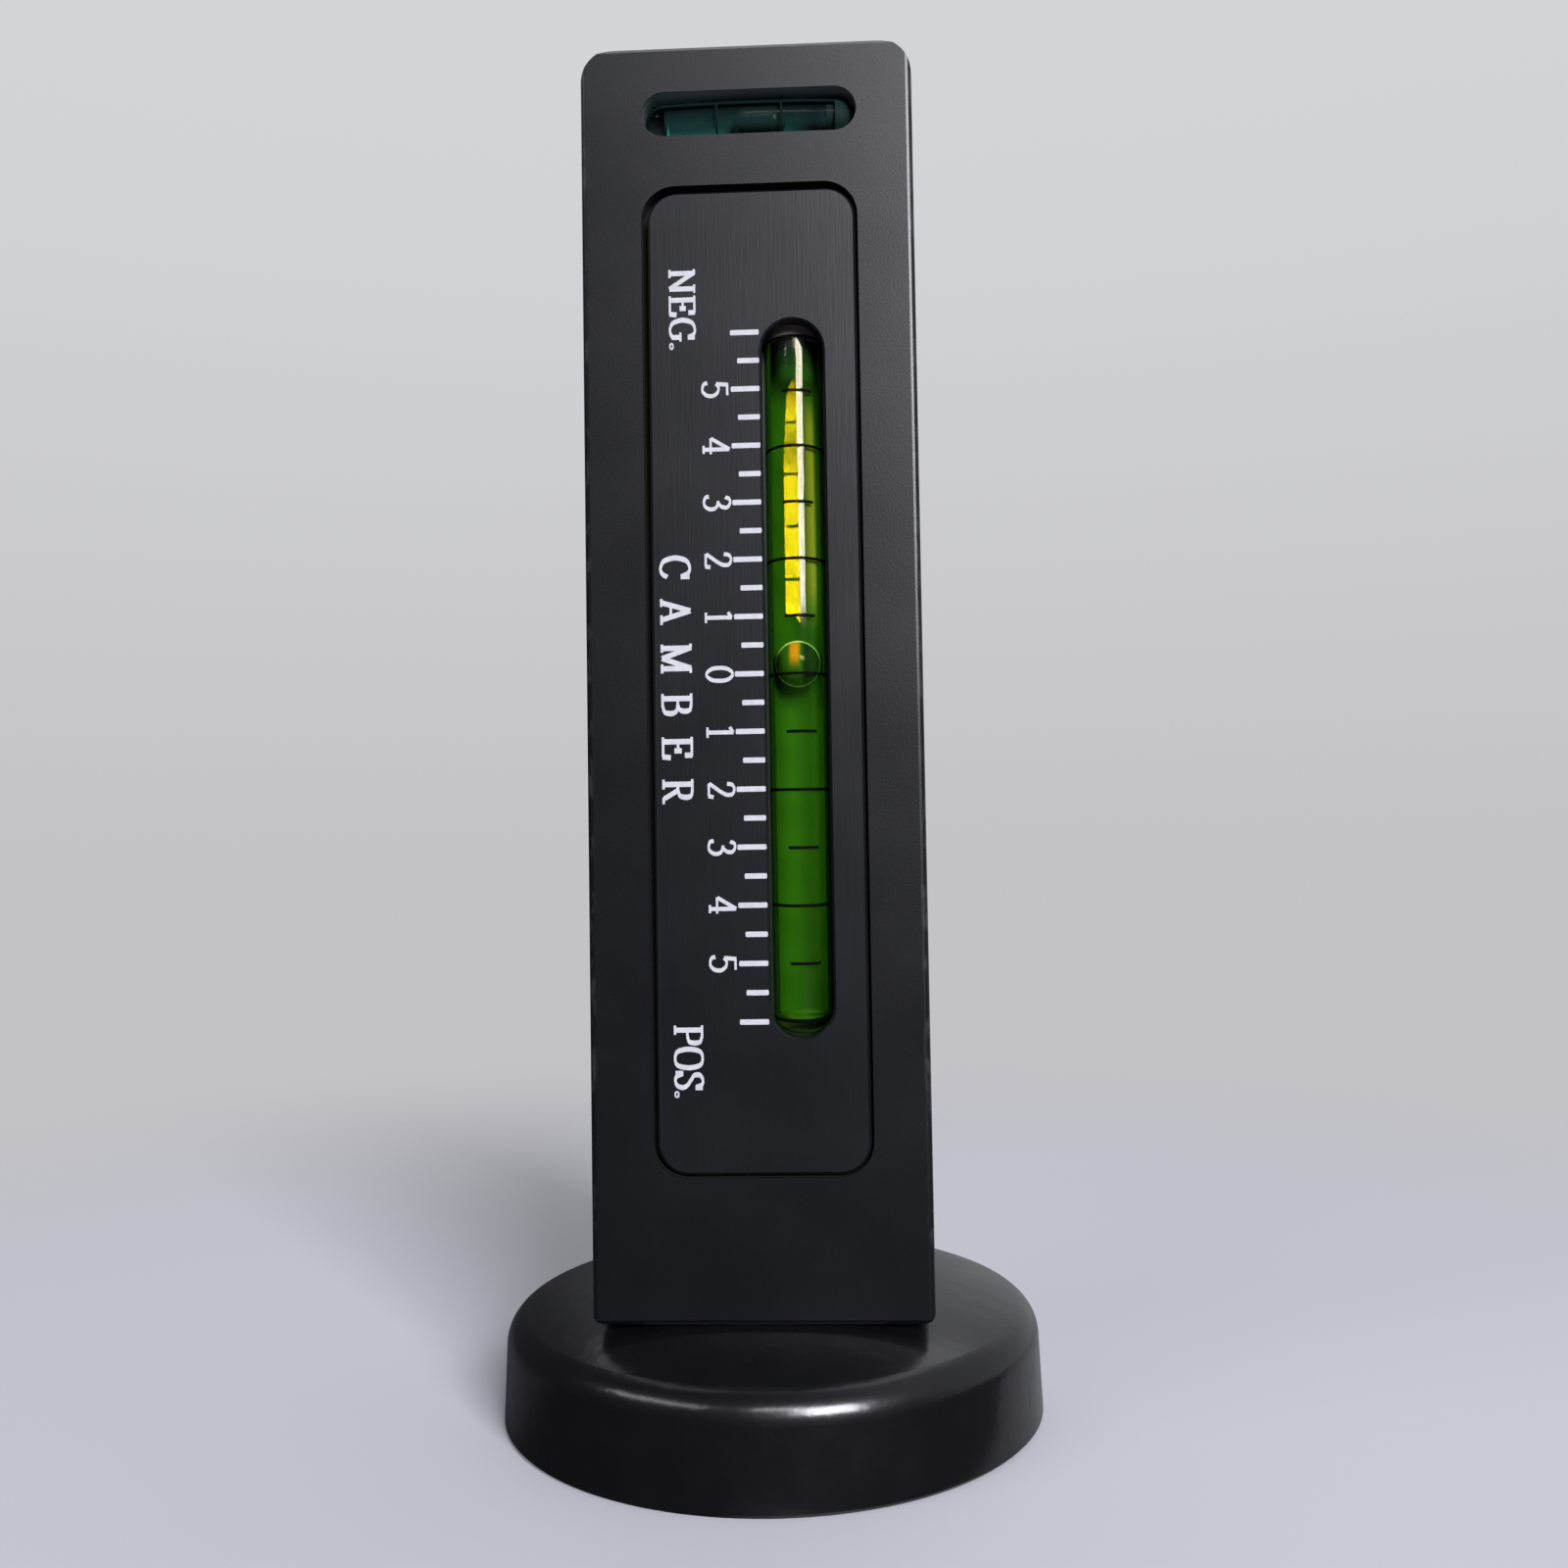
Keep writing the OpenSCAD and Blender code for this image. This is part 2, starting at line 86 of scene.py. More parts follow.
# A value carried from one span to another and held beyond its ends, smoothly where asked
def remap(tree, value, span, toLow=0.0, toHigh=1.0, kind="LINEAR"):
    return addNode(
        tree, "ShaderNodeMapRange",
        {"interpolation_type": kind, "From Min": span[0], "From Max": span[1], "To Min": toLow,
         "To Max": toHigh},
        {"Value": value},
    ).outputs["Result"]


# remap for a length, whose span is given in mm
def remapMm(tree, value, span, toLow=0.0, toHigh=1.0, kind="LINEAR"):
    return remap(tree, value, (span[0] * mm, span[1] * mm), toLow, toHigh, kind)


def mathOf(tree, operation, first, second=0.0):
    node = addNode(tree, "ShaderNodeMath", {"operation": operation})
    for socket, value in ((0, first), (1, second)):
        if isinstance(value, (int, float)):
            node.inputs[socket].default_value = value
        else:
            tree.links.new(value, node.inputs[socket])
    return node.outputs["Value"]


def product(tree, first, *others):
    for value in others:
        first = mathOf(tree, "MULTIPLY", first, value)
    return first


# How far a value lies from another, either way
def distance(tree, value, other):
    return mathOf(tree, "ABSOLUTE", mathOf(tree, "SUBTRACT", value, other))


def dotOf(tree, vector, way):
    node = addNode(tree, "ShaderNodeVectorMath", {"operation": "DOT_PRODUCT", 1: way}, {0: vector})
    return node.outputs["Value"]


def mixColour(tree, factor, first, second):
    node = addNode(tree, "ShaderNodeMix", {"data_type": "RGBA"})
    tree.links.new(factor, node.inputs[0])
    for socket, value in ((6, first), (7, second)):
        if isinstance(value, tuple):
            node.inputs[socket].default_value = value
        else:
            tree.links.new(value, node.inputs[socket])
    return node.outputs[2]


def mixShader(tree, factor, first, second):
    return addNode(tree, "ShaderNodeMixShader", links={0: factor, 1: first, 2: second}).outputs["Shader"]


# A diffuse, glossy, transparent or background shader of one colour, given as a hex text or as an output
def plainShader(tree, kind, colour, settings=None, links=None):
    if isinstance(colour, str):
        node = addNode(tree, kind, {"Color": linear(colour), **(settings or {})}, links)
    else:
        node = addNode(tree, kind, settings, {"Color": colour, **(links or {})})
    return node.outputs[0]


def bumpOf(tree, height, distanceMm, strength=1.0):
    return addNode(
        tree, "ShaderNodeBump", {"Strength": strength, "Distance": distanceMm * mm}, {"Height": height},
    ).outputs["Normal"]


def dress(node, material):
    piece = nodes[node]
    for slot in piece.material_slots:
        slot.material = material
    if not piece.material_slots:
        piece.data.materials.append(material)


# Closed tubes as one mesh of quads, with a flat face on each end of each tube. A tube is a grid of points in
# mm, rows by columns by xyz, and its columns run round it.
def joinTubes(name, tubes):
    places, faces, start = [], [], 0
    for points in tubes:
        rows, columns = points.shape[:2]
        index = np.arange(rows * columns).reshape(rows, columns) + start
        ahead = np.roll(index, -1, axis=1)
        faces += np.stack([index[:-1], ahead[:-1], ahead[1:], index[1:]], axis=-1).reshape(-1, 4).tolist()
        faces += [index[0][::-1].tolist(), index[-1].tolist()]
        places.append(points.reshape(-1, 3))
        start += rows * columns
    mesh = bpy.data.meshes.new(name)
    mesh.from_pydata((np.concatenate(places) * mm).tolist(), [], faces)
    mesh.validate()
    mesh.update()
    return mesh


def newPiece(name, mesh, material, body, smooth=True):
    piece = bpy.data.objects.new(name, mesh)
    bpy.context.scene.collection.objects.link(piece)
    mesh.materials.append(material)
    mesh.polygons.foreach_set("use_smooth", np.full(len(mesh.polygons), smooth))
    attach(piece, body)


# Places of the solids in mm. degree is a degree of camber along a vial. A degree of caster is two thirds as
# long, because the wheel is turned 20 degrees each way to read it.
gauge = {
    "zeroZ": 73.45, "height": 134.5, "blockHalf": 16.0, "plateFace": 15.9, "camberX": 4.1, "levelX": 0.3,
    "levelZ": 127.8, "degree": 5.465, "camberPerCaster": 1.5,
}
gauge["casterDegree"] = gauge["degree"] / gauge["camberPerCaster"]
# A vial's arc radius, tube and bore radii, ends below and above its zero, how far its plug stands in the
# upper one, its middle line's distance from the block's axis, and its bubble's distance from zero and size
curvedVial = {
    "arc": gauge["degree"] * 180 / math.pi, "outer": 2.8, "bore": 2.4, "low": 32.65, "high": 32.8,
    "stub": 1.0, "centre": 12.9, "reading": 1.2, "bubble": 2.25,
}
levelVial = {
    "arc": 120.0, "outer": 2.05, "bore": 1.55, "low": 8.2, "high": 8.2,
    "stub": 0.8, "centre": 13.6, "reading": 0.9, "bubble": 2.6,
}
# Each vial, its face's turn about z in degrees, its zero on that face, and whether it lies across
vialPlaces = {
    "camber": (curvedVial, 0, (gauge["camberX"], gauge["zeroZ"]), False),
    "left_caster": (curvedVial, -90, (0.0, gauge["zeroZ"]), False),
    "right_caster": (curvedVial, 90, (0.0, gauge["zeroZ"]), False),
    "level": (levelVial, 0, (gauge["levelX"], gauge["levelZ"]), True),
}


# Face coordinates, which are x right, y up and n outward from the block's axis, to the frame's, for a face
# turned about z
def onFace(points, turn, shift=(0.0, 0.0)):
    x, y, n = points[..., 0] + shift[0], points[..., 1] + shift[1], points[..., 2]
    angle = math.radians(turn)
    return np.stack([
        x * math.cos(angle) + n * math.sin(angle), x * math.sin(angle) - n * math.cos(angle), y,
    ], axis=-1)


# Points beside a vial's arc: a way along it, at an angle round its middle line from the front, and a radius
# out from that line
def onArc(vial, along, angle, radius):
    turn = along / vial["arc"]
    reach = vial["arc"] + radius * np.cos(angle)
    return np.stack([
        radius * np.sin(angle) + 0 * turn, reach * np.sin(turn),
        vial["centre"] - vial["arc"] + reach * np.cos(turn),
    ], axis=-1)


# A vial's points in the frame: the level vial lies across, so its own upward runs to the right
def placeVial(key, points):
    turn, shift, across = vialPlaces[key][1:]
    if across:
        points = np.stack([points[..., 1], -points[..., 0], points[..., 2]], axis=-1)
    return onFace(points, turn, shift)


# Lengths in mm. A span is what a noise's values run between, and spread is how the roughness varies over it.
anodising = {
    "cloud": 14.0, "cloudSpan": (0.3, 0.7), "grainShare": 0.5, "roughSpan": (0.4, 1.1),
    "spread": (-0.03, 0.04), "ior": 1.5, "specular": 0.36, "bump": 0.012, "bumpStrength": 0.5,
}


# Black anodised aluminium, milled and then bead blasted: a deep grey-black with a wide soft sheen. Each of
# the look's tints is a mask, the colour where the mask is 1, and how much rougher it is there.
def anodised(name, look):
    material, tree = newMaterial(name)
    cloud = noiseOf(tree, anodising["cloud"])
    grain = noiseOf(tree, look["grain"], look["stretch"], detail=2.0)
    dark, pale = (linear(tone) for tone in look["colours"])
    colour = mixColour(tree, remap(tree, cloud, anodising["cloudSpan"]), dark, pale)
    speckle = mathOf(tree, "ADD", cloud, product(tree, grain, anodising["grainShare"]))
    smoothest, roughest = (look["rough"] + more for more in anodising["spread"])
    rough = remap(tree, speckle, anodising["roughSpan"], smoothest, roughest)
    for mask, tint, rougher in look["tints"]:
        share = mask(tree)
        colour = mixColour(tree, share, colour, linear(tint))
        rough = mathOf(tree, "ADD", rough, product(tree, share, rougher))
    shader = addNode(
        tree, "ShaderNodeBsdfPrincipled",
        {"Metallic": 0.0, "IOR": anodising["ior"], "Specular IOR Level": anodising["specular"]},
        {"Base Color": colour, "Roughness": rough,
         "Normal": bumpOf(tree, grain, anodising["bump"], anodising["bumpStrength"])},
    )
    endMaterial(tree, shader.outputs["BSDF"])
    return material


# The band over which wear fades away from an edge and the size of its spots, in mm
wear = {
    "band": (0.35, 0.75), "spot": 1.1, "stretch": (1, 1, 2.5), "spotSpan": (0.5, 0.68), "strength": 0.12,
}


# The block's upright edges and top rims, where handling has rubbed the dye, broken up by noise
def blockWear(tree):
    spot = spotOf(tree)
    half = gauge["blockHalf"] * mm
    sides = (mathOf(tree, "ABSOLUTE", spot[axis]) for axis in "XY")
    acrossX, acrossY = (mathOf(tree, "SUBTRACT", half, side) for side in sides)
    corner = mathOf(tree, "ADD", acrossX, acrossY)
    topEdge = mathOf(tree, "ADD", distance(tree, gauge["height"] * mm, spot["Z"]), acrossY)
    band = remapMm(tree, mathOf(tree, "MINIMUM", corner, topEdge), wear["band"], 1.0, 0.0, "SMOOTHSTEP")
    noise = noiseOf(tree, wear["spot"], wear["stretch"], detail=5.0)
    spots = remap(tree, noise, wear["spotSpan"], kind="SMOOTHSTEP")
    return product(tree, band, spots, wear["strength"])


# Recesses cut into the front face, in mm: the spans over which their masks fade in behind the face, out
# behind the recess, out to each side, and out above and below a height. The pocket's height is the floor's,
# so its mask ends only above it.
levelSlot = {
    "front": (-15.95, -15.8), "back": (-9.0, -8.0), "aside": (11.5, 12.0), "height": gauge["levelZ"],
    "above": (2.6, 2.9),
}
platePocket = {
    "front": (-15.95, -15.6), "back": (-9.0, -8.0), "aside": (11.0, 11.5), "height": 0.0,
    "above": (122.0, 123.0),
}


# A mask that is 1 in a recess
def recess(look):
    def mask(tree):
        spot = spotOf(tree)
        return product(
            tree, remapMm(tree, spot["Y"], look["front"]), remapMm(tree, spot["Y"], look["back"], 1.0, 0.0),
            remapMm(tree, mathOf(tree, "ABSOLUTE", spot["X"]), look["aside"], 1.0, 0.0),
            remapMm(tree, distance(tree, spot["Z"], look["height"] * mm), look["above"], 1.0, 0.0),
        )
    return mask


plateEdge = (-9.34, -9.28)  # where the plate's left chamfer ends, in mm


# The plate's left chamfer, painted darker and rougher: painted shade from the pocket's left wall
def plateEdgeShade(tree):
    return remapMm(tree, spotOf(tree)["X"], plateEdge, 1.0, 0.0)


# The level slot's walls are painted a paler grey, as painted light where they stand in shade, and the
# pocket's floor is painted near black and rough, as painted shade in the narrow gap round the plate
blockLook = {
    "colours": ("#0a0b0d", "#0e0f11"), "rough": 0.31, "grain": 0.25, "stretch": (1, 1, 1),
    "tints": [(blockWear, "#6d6f73", -0.12), (recess(platePocket), "#020202", 0.55),
              (recess(levelSlot), "#565c60", 0.0)],
}
# The scale plate is thinner stock with a fine upright brushing under its dye
plateLook = {
    "colours": ("#0b0c0f", "#0f1014"), "rough": 0.32, "grain": 0.16, "stretch": (1, 1, 30),
    "tints": [(plateEdgeShade, "#040405", 0.5)],
}
blockFinish = anodised("black_anodised_aluminium", blockLook)
plateFinish = anodised("brushed_anodised_plate", plateLook)

plain = {"cloudSpan": (0.3, 0.7)}


# A plain surface with a little uneven tone: two colours, roughness range, noise size and bump in mm
def plainFinish(name, colours, rough, sizeMm, bumpMm=0.0, ior=1.5, metallic=0.0, coat=None):
    material, tree = newMaterial(name)
    cloud = noiseOf(tree, sizeMm)
    dark, pale = (linear(tone) for tone in colours)
    colour = mixColour(tree, remap(tree, cloud, plain["cloudSpan"]), dark, pale)
    links = {"Base Color": colour, "Roughness": remap(tree, cloud, plain["cloudSpan"], *rough)}
    if bumpMm:
        links["Normal"] = bumpOf(tree, cloud, bumpMm)
        if coat:
            links["Coat Normal"] = links["Normal"]
    settings = {"Metallic": metallic, "IOR": ior, **(coat or {})}
    shader = addNode(tree, "ShaderNodeBsdfPrincipled", settings, links)
    endMaterial(tree, shader.outputs["BSDF"])
    return material


# Screen-printed white ink: matt, a little thin in places
inkFinish = plainFinish("white_screen_ink", ("#a6a6ab", "#b6b6ba"), (0.5, 0.6), 0.8, 0.004)
# Black epoxy line printed on the vials
ringFinish = plainFinish("black_vial_line", ("#040604", "#080b06"), (0.6, 0.7), 0.5, ior=1.08)
# The level vial's lines are thinner ink, so they look dark teal
levelRingFinish = plainFinish("dark_level_line", ("#0b1514", "#0e1a19"), (0.6, 0.7), 0.5, ior=1.08)
# Potting resin behind the curved vials: dark green, with a dull skin
bedFinish = plainFinish("potting_resin", ("#10280c", "#132e0f"), (0.5, 0.6), 3.0)
# Potting and sealing resin of the level vial: nearly black teal, as deep in shade as the slot
levelBedFinish = plainFinish("dark_potting_resin", ("#0d1817", "#101c1b"), (0.5, 0.6), 3.0)
levelPlugFinish = plainFinish("teal_sealing_resin", ("#141f1e", "#172422"), (0.5, 0.6), 2.0, ior=1.12)
# Glossy black stoved enamel on pressed steel: a soft sheen under a wet coat that is slightly wavy
enamel = {
    "colours": ("#0a0a0b", "#0c0c0d"), "rough": (0.36, 0.44), "size": 3.5, "wave": 0.08,
    "coat": {"Specular IOR Level": 0.08, "Coat Weight": 0.9, "Coat Roughness": 0.21, "Coat IOR": 1.5},
}
cupFinish = plainFinish("black_stoved_enamel", enamel["colours"], enamel["rough"], enamel["size"],
                        enamel["wave"], coat=enamel["coat"])
# Sintered ferrite: charcoal, fine ground faces
ferriteFinish = plainFinish("sintered_ferrite", ("#2b2c2f", "#3a3b3e"), (0.42, 0.55), 0.7, 0.01)
# Brown-black resin round the magnet: glossy and a little uneven
magnetResinFinish = plainFinish("magnet_resin", ("#1b1a19", "#262422"), (0.3, 0.4), 1.5, 0.02)
# Zinc plated steel: bright grey with faint cloudiness
zincFinish = plainFinish("zinc_plated_steel", ("#a4a7ab", "#b9bcc0"), (0.26, 0.36), 1.6, 0.01, metallic=1.0)
# Stainless steel: a warmer grey than the zinc, from fine turning
insertFinish = plainFinish("stainless_insert", ("#b1b0ac", "#c2c1bd"), (0.3, 0.4), 0.6, 0.01, metallic=1.0)
# Foam tape: a dull cream edge
tapeFinish = plainFinish("acrylic_foam_tape", ("#b9b5a6", "#ccc8ba"), (0.6, 0.7), 1.0, 0.01)

plug = {
    "dome": "#6e6865", "sunk": "#0e180e", "level": (106.0, 106.6), "rough": 0.42, "ior": 1.49,
    "specular": 0.22,
}


# Moulded plug of black polypropylene: the dome is painted a paler grey than the plastic, as painted light
# where the window's edge shades it, and green below a level where it stands in the dyed vial
def plugPlastic(name):
    material, tree = newMaterial(name)
    above = remapMm(tree, spotOf(tree)["Z"], plug["level"], kind="SMOOTHSTEP")
    colour = mixColour(tree, above, linear(plug["sunk"]), linear(plug["dome"]))
    shader = addNode(
        tree, "ShaderNodeBsdfPrincipled",
        {"Roughness": plug["rough"], "IOR": plug["ior"], "Specular IOR Level": plug["specular"]},
        {"Base Color": colour},
    )
    endMaterial(tree, shader.outputs["BSDF"])
    return material


plugFinish = plugPlastic("black_polypropylene")

acrylic = {
    "dyedSpan": (0.42, 0.62), "dyed": 0.9, "shine": "#fff4d2", "rough": 0.06, "power": 5.0, "grazing": 0.12,
}


# A vial's wall, cast in acrylic: clear in the middle and shiny outside, and at a glancing angle it takes the
# colour of the dye. front is how much it mirrors where it is seen square on.
def vialWall(name, tint, edge, front):
    material, tree = newMaterial(name)
    facing = addNode(tree, "ShaderNodeLayerWeight").outputs["Facing"]
    outside = mathOf(tree, "SUBTRACT", 1.0, addNode(tree, "ShaderNodeNewGeometry").outputs["Backfacing"])
    clear = plainShader(tree, "ShaderNodeBsdfTransparent", tint)
    dyed = plainShader(tree, "ShaderNodeBsdfDiffuse", edge)
    shine = plainShader(tree, "ShaderNodeBsdfGlossy", acrylic["shine"], {"Roughness": acrylic["rough"]})
    dyeing = remap(tree, facing, acrylic["dyedSpan"], 0.0, acrylic["dyed"], "SMOOTHSTEP")
    wall = mixShader(tree, product(tree, dyeing, outside), clear, dyed)
    grazing = product(tree, mathOf(tree, "POWER", facing, acrylic["power"]), acrylic["grazing"])
    mirror = product(tree, mathOf(tree, "ADD", grazing, front), outside)
    endMaterial(tree, mixShader(tree, mirror, wall, shine))
    return material


vialFinish = vialWall("clear_cast_acrylic", "#fdfefc", "#367c20", 0.026)
levelFinish = vialWall("clear_level_acrylic", "#fafdfc", "#101d1c", 0.006)


# Dyed spirit, from two attributes of its mesh: "far" is 1 on its far wall, and "dyeAndPaintedLight" is its
# colour with painted glow and shade in it, with how much of the near wall it covers, or how well the far
# wall turns light back, as the alpha. The near wall is a thin veil over clear spirit. The far wall shows the
# dye's full depth and turns light back in the dye's colour.
def spiritFinish(name, tint, shineColour, shine, rough):
    material, tree = newMaterial(name)
    dyeAndPaintedLight = addNode(tree, "ShaderNodeAttribute", {"attribute_name": "dyeAndPaintedLight"})
    side = addNode(tree, "ShaderNodeAttribute", {"attribute_name": "far"}).outputs["Fac"]
    clear = plainShader(tree, "ShaderNodeBsdfTransparent", tint)
    depth = plainShader(tree, "ShaderNodeBsdfDiffuse", dyeAndPaintedLight.outputs["Color"])
    mirror = plainShader(tree, "ShaderNodeBsdfGlossy", shineColour, {"Roughness": rough})
    nearWall = mixShader(tree, dyeAndPaintedLight.outputs["Alpha"], clear, depth)
    farWall = mixShader(tree, product(tree, dyeAndPaintedLight.outputs["Alpha"], shine), depth, mirror)
    endMaterial(tree, mixShader(tree, side, nearWall, farWall))
    return material


liquidFinish = spiritFinish("green_dyed_spirit", "#fffdc8", "#ffe626", 0.125, 0.008)
levelLiquidFinish = spiritFinish("teal_dyed_spirit", "#e8f6f3", "#88b8b0", 0.006, 0.15)

# Spans as parts of the bubble's size from its middle, but the painted rim's is of how much the surface faces
# away
vapour = {
    "shade": (0.1, 0.35), "streakMiddle": -0.12, "streakSide": (0.1, 0.3), "streakRise": (-0.35, 0.35),
    "paintedRim": (0.58, 0.74), "ior": 1.2, "rough": 0.1,
}


# The bubble: vapour in the spirit, drawn in painted light and shade: the dye behind it, a painted pale rim
# where light turns back, painted shade on one side and a painted highlight streak where it gathers the light
def bubbleFinish(name, tones, key):
    vial, turn, _, across = vialPlaces[key]
    middle = placeVial(key, np.array([0.0, vial["reading"], vial["centre"]])) * mm
    aside = onFace(np.array([1.0, 0.0, 0.0]), turn)
    along = aside if across else np.array([0.0, 0.0, 1.0])
    material, tree = newMaterial(name)
    facing = addNode(tree, "ShaderNodeLayerWeight").outputs["Facing"]
    place = addNode(tree, "ShaderNodeTexCoord").outputs["Object"]
    spot = addNode(tree, "ShaderNodeVectorMath", {"operation": "SUBTRACT", 1: tuple(middle)}, {0: place})
    rightward, upward = (
        mathOf(tree, "DIVIDE", dotOf(tree, spot.outputs["Vector"], tuple(way)), vial["bubble"] * mm)
        for way in (aside, along)
    )
    shade = remap(tree, rightward, vapour["shade"], kind="SMOOTHSTEP")
    fromStreak = distance(tree, rightward, vapour["streakMiddle"])
    paintedStreak = product(tree, remap(tree, fromStreak, vapour["streakSide"], 1.0, 0.0, "SMOOTHSTEP"),
                     remap(tree, upward, vapour["streakRise"], kind="SMOOTHSTEP"))
    inner = mixColour(tree, shade, linear(tones["open"]), linear(tones["shaded"]))
    inner = mixColour(tree, paintedStreak, inner, linear(tones["paintedStreak"]))
    paintedRim = mixColour(tree, shade, linear(tones["paintedRim"]), linear(tones["shadedRim"]))
    ring = remap(tree, facing, vapour["paintedRim"], kind="SMOOTHSTEP")
    shader = addNode(tree, "ShaderNodeBsdfPrincipled", {"IOR": vapour["ior"], "Roughness": vapour["rough"]},
                     {"Base Color": mixColour(tree, ring, inner, paintedRim)})
    endMaterial(tree, shader.outputs["BSDF"])
    return material


airTones = {
    "open": "#2c5a18", "shaded": "#061a12", "paintedStreak": "#c08420", "paintedRim": "#c4f4b8", "shadedRim": "#86c888",
}
levelAirTones = {
    "open": "#19201f", "shaded": "#161c1b", "paintedStreak": "#19201f", "paintedRim": "#202827", "shadedRim": "#1d2423",
}

finishOf = {
    "body": blockFinish, "scale_plate": plateFinish, "plate_tape": tapeFinish,
    "level_bed": levelBedFinish, "level_vial": levelFinish, "level_plug": levelPlugFinish,
    "level_bubble": bubbleFinish("level_vapour", levelAirTones, "level"),
    "magnet_cup": cupFinish, "ring_magnet": ferriteFinish, "magnet_resin": magnetResinFinish,
    "base_screw": zincFinish, "split_washer": zincFinish, "thread_insert": insertFinish,
}
for key in ("camber", "left_caster", "right_caster"):
    finishOf.update({
        key + "_bed": bedFinish, key + "_vial": vialFinish, key + "_plug": plugFinish,
        key + "_bubble": bubbleFinish(key + "_vapour", airTones, key),
    })
for node, finish in finishOf.items():
    dress(node, finish)
print("finishes on the packed nodes")

# Lengths in mm and angles in degrees. A way across a vial runs from -1 at its left side to 1 at its right
# one, or from the top to the bottom of the level vial. What ends in Top is measured down from the spirit's
# upper end.
spirit = {
    "gap": 0.03, "columns": 72, "rows": 90, "farSoft": 0.12,
    # Painted light: the yellow glow on the near wall, along the vial and across it
    "glowLeast": 0.08, "glowRise": (3.0, 9.0), "glowTop": (8.0, 3.0), "glowLeft": (0.28, 0.5),
    "glowRight": (0.72, 0.97),
    # Painted shade at the end under the plug, where the near wall is covered more
    "plugShadeTop": 4.5, "plugTop": (3.6, 2.4), "plugCover": 0.5, "endTop": 1.5, "endCover": 0.35,
    # The right side's painted light, and where light that the far wall turns back leaves: climb is its slope
    # and rise
    "rightLift": 1.6, "rightSide": (0.4, 0.9), "climb": (1.1, 1.0),
    # How the far wall's shading bends and rises
    "bend": 0.32, "lean": 9.9, "bentWithin": (45, 85), "risesLike": 5.5, "risesMore": 1.3,
    "moreBelow": (4.0, 12.0),
    "green": {"near": "#2e7217", "cover": 0.06, "glow": "#586312", "glowCover": 0.75, "far": "#2a6417",
              "plugShade": "#182e19", "leftShade": 0.42, "shadeOver": (-1.0, 0.0)},
    "teal": {"near": "#2a4341", "cover": 0.35, "glow": "#2a4341", "glowCover": 0.35, "far": "#47807c",
             "plugShade": "#1a2c2b", "leftShade": 0.8, "shadeOver": (-0.9, 0.7)},
}


# 0 below low, 1 above high, and a smooth rise between
def rise(values, low, high):
    part = np.clip((values - low) / (high - low), 0, 1)
    return part * part * (3 - 2 * part)


# How strong the painted yellow glow is along the vial: least below the bubble and under the plug
def glowAlong(along, top):
    least = spirit["glowLeast"]
    fall = rise(along, *(top - depth for depth in spirit["glowTop"]))
    return least + (1 - least) * rise(along, *spirit["glowRise"]) * (1 - fall)


# The dye's colour and cover by place, with painted light and shade in it: a painted yellow glow on the right
# above the bubble, where the light comes through, and painted shade at the upper end under the plug
def dyeAndPaintedLightOf(tones, far, aside, along, top):
    glowAside = rise(aside, *spirit["glowLeft"]) * (1 - rise(aside, *spirit["glowRight"]))
    glow = (1 - far) * glowAside * glowAlong(along, top)
    # Painted shade: the colour darkens at the upper end under the plug
    plugShade = rise(along, top - spirit["plugShadeTop"], top)
    near, glowing, deep, dull = (np.array(linear(tones[key])[:3]) for key in ("near", "glow", "far", "plugShade"))
    shown = near + glow[..., None] * (glowing - near)
    shown = shown + far[..., None] * (deep - shown)
    shown = shown + plugShade[..., None] * (dull - shown)
    # Painted light: the right side stands in the window's shade, so its colour is painted paler to hold the
    # same tone
    paintedLift = spirit["rightLift"] * np.maximum(far, glow) * rise(aside, *spirit["rightSide"])
    # Painted shade: the left side is painted darker, and so is the upper side of the level vial
    paintedShade = tones["leftShade"] * (1 - rise(aside, *tones["shadeOver"]))
    shown = shown * ((1 + paintedLift) * (1 - paintedShade))[..., None]
    cover = tones["cover"] + (tones["glowCover"] - tones["cover"]) * glow
    underPlug = rise(along, *(top - depth for depth in spirit["plugTop"]))
    cover = cover + (spirit["plugCover"] - cover) * underPlug
    cover = cover + spirit["endCover"] * rise(along, top - spirit["endTop"], top)
    # Light turned back by the far wall leaves through the near one, higher up: it is as bright all along
    out = spirit["climb"][0] * along + spirit["climb"][1]
    turned = (1 - tones["glowCover"]) / (1 - tones["glowCover"] * glowAlong(out, top))
    return np.concatenate([shown, (cover + far * (turned - cover))[..., None]], axis=-1)


# The way each point of a vial's spirit is shaded. On the far wall the normals lean and spread as a full tube
# bends what is seen through it: azimuth from the viewer's side = bend times the true one + lean. There they
# also rise all along as they do risesLike mm above zero, since light runs flatter in the spirit than out of
# it, and a little more low down. Each is the way from a point on the middle line to one 1 mm out.
def bentNormals(key, vial, far, along, angle):
    off = np.degrees(angle) - 180
    bending = 1 - rise(np.abs(off), *spirit["bentWithin"])
    bent = off + bending * ((spirit["bend"] - 1) * off + spirit["lean"])
    way = np.radians(np.where(far > 0, bent + 180, np.degrees(angle)))
    level = spirit["risesLike"] + spirit["risesMore"] * (1 - rise(along, *spirit["moreBelow"]))
    at = along + far * (level - along)
    return placeVial(key, onArc(vial, at, way, 1.0)) - placeVial(key, onArc(vial, at, way, 0.0))


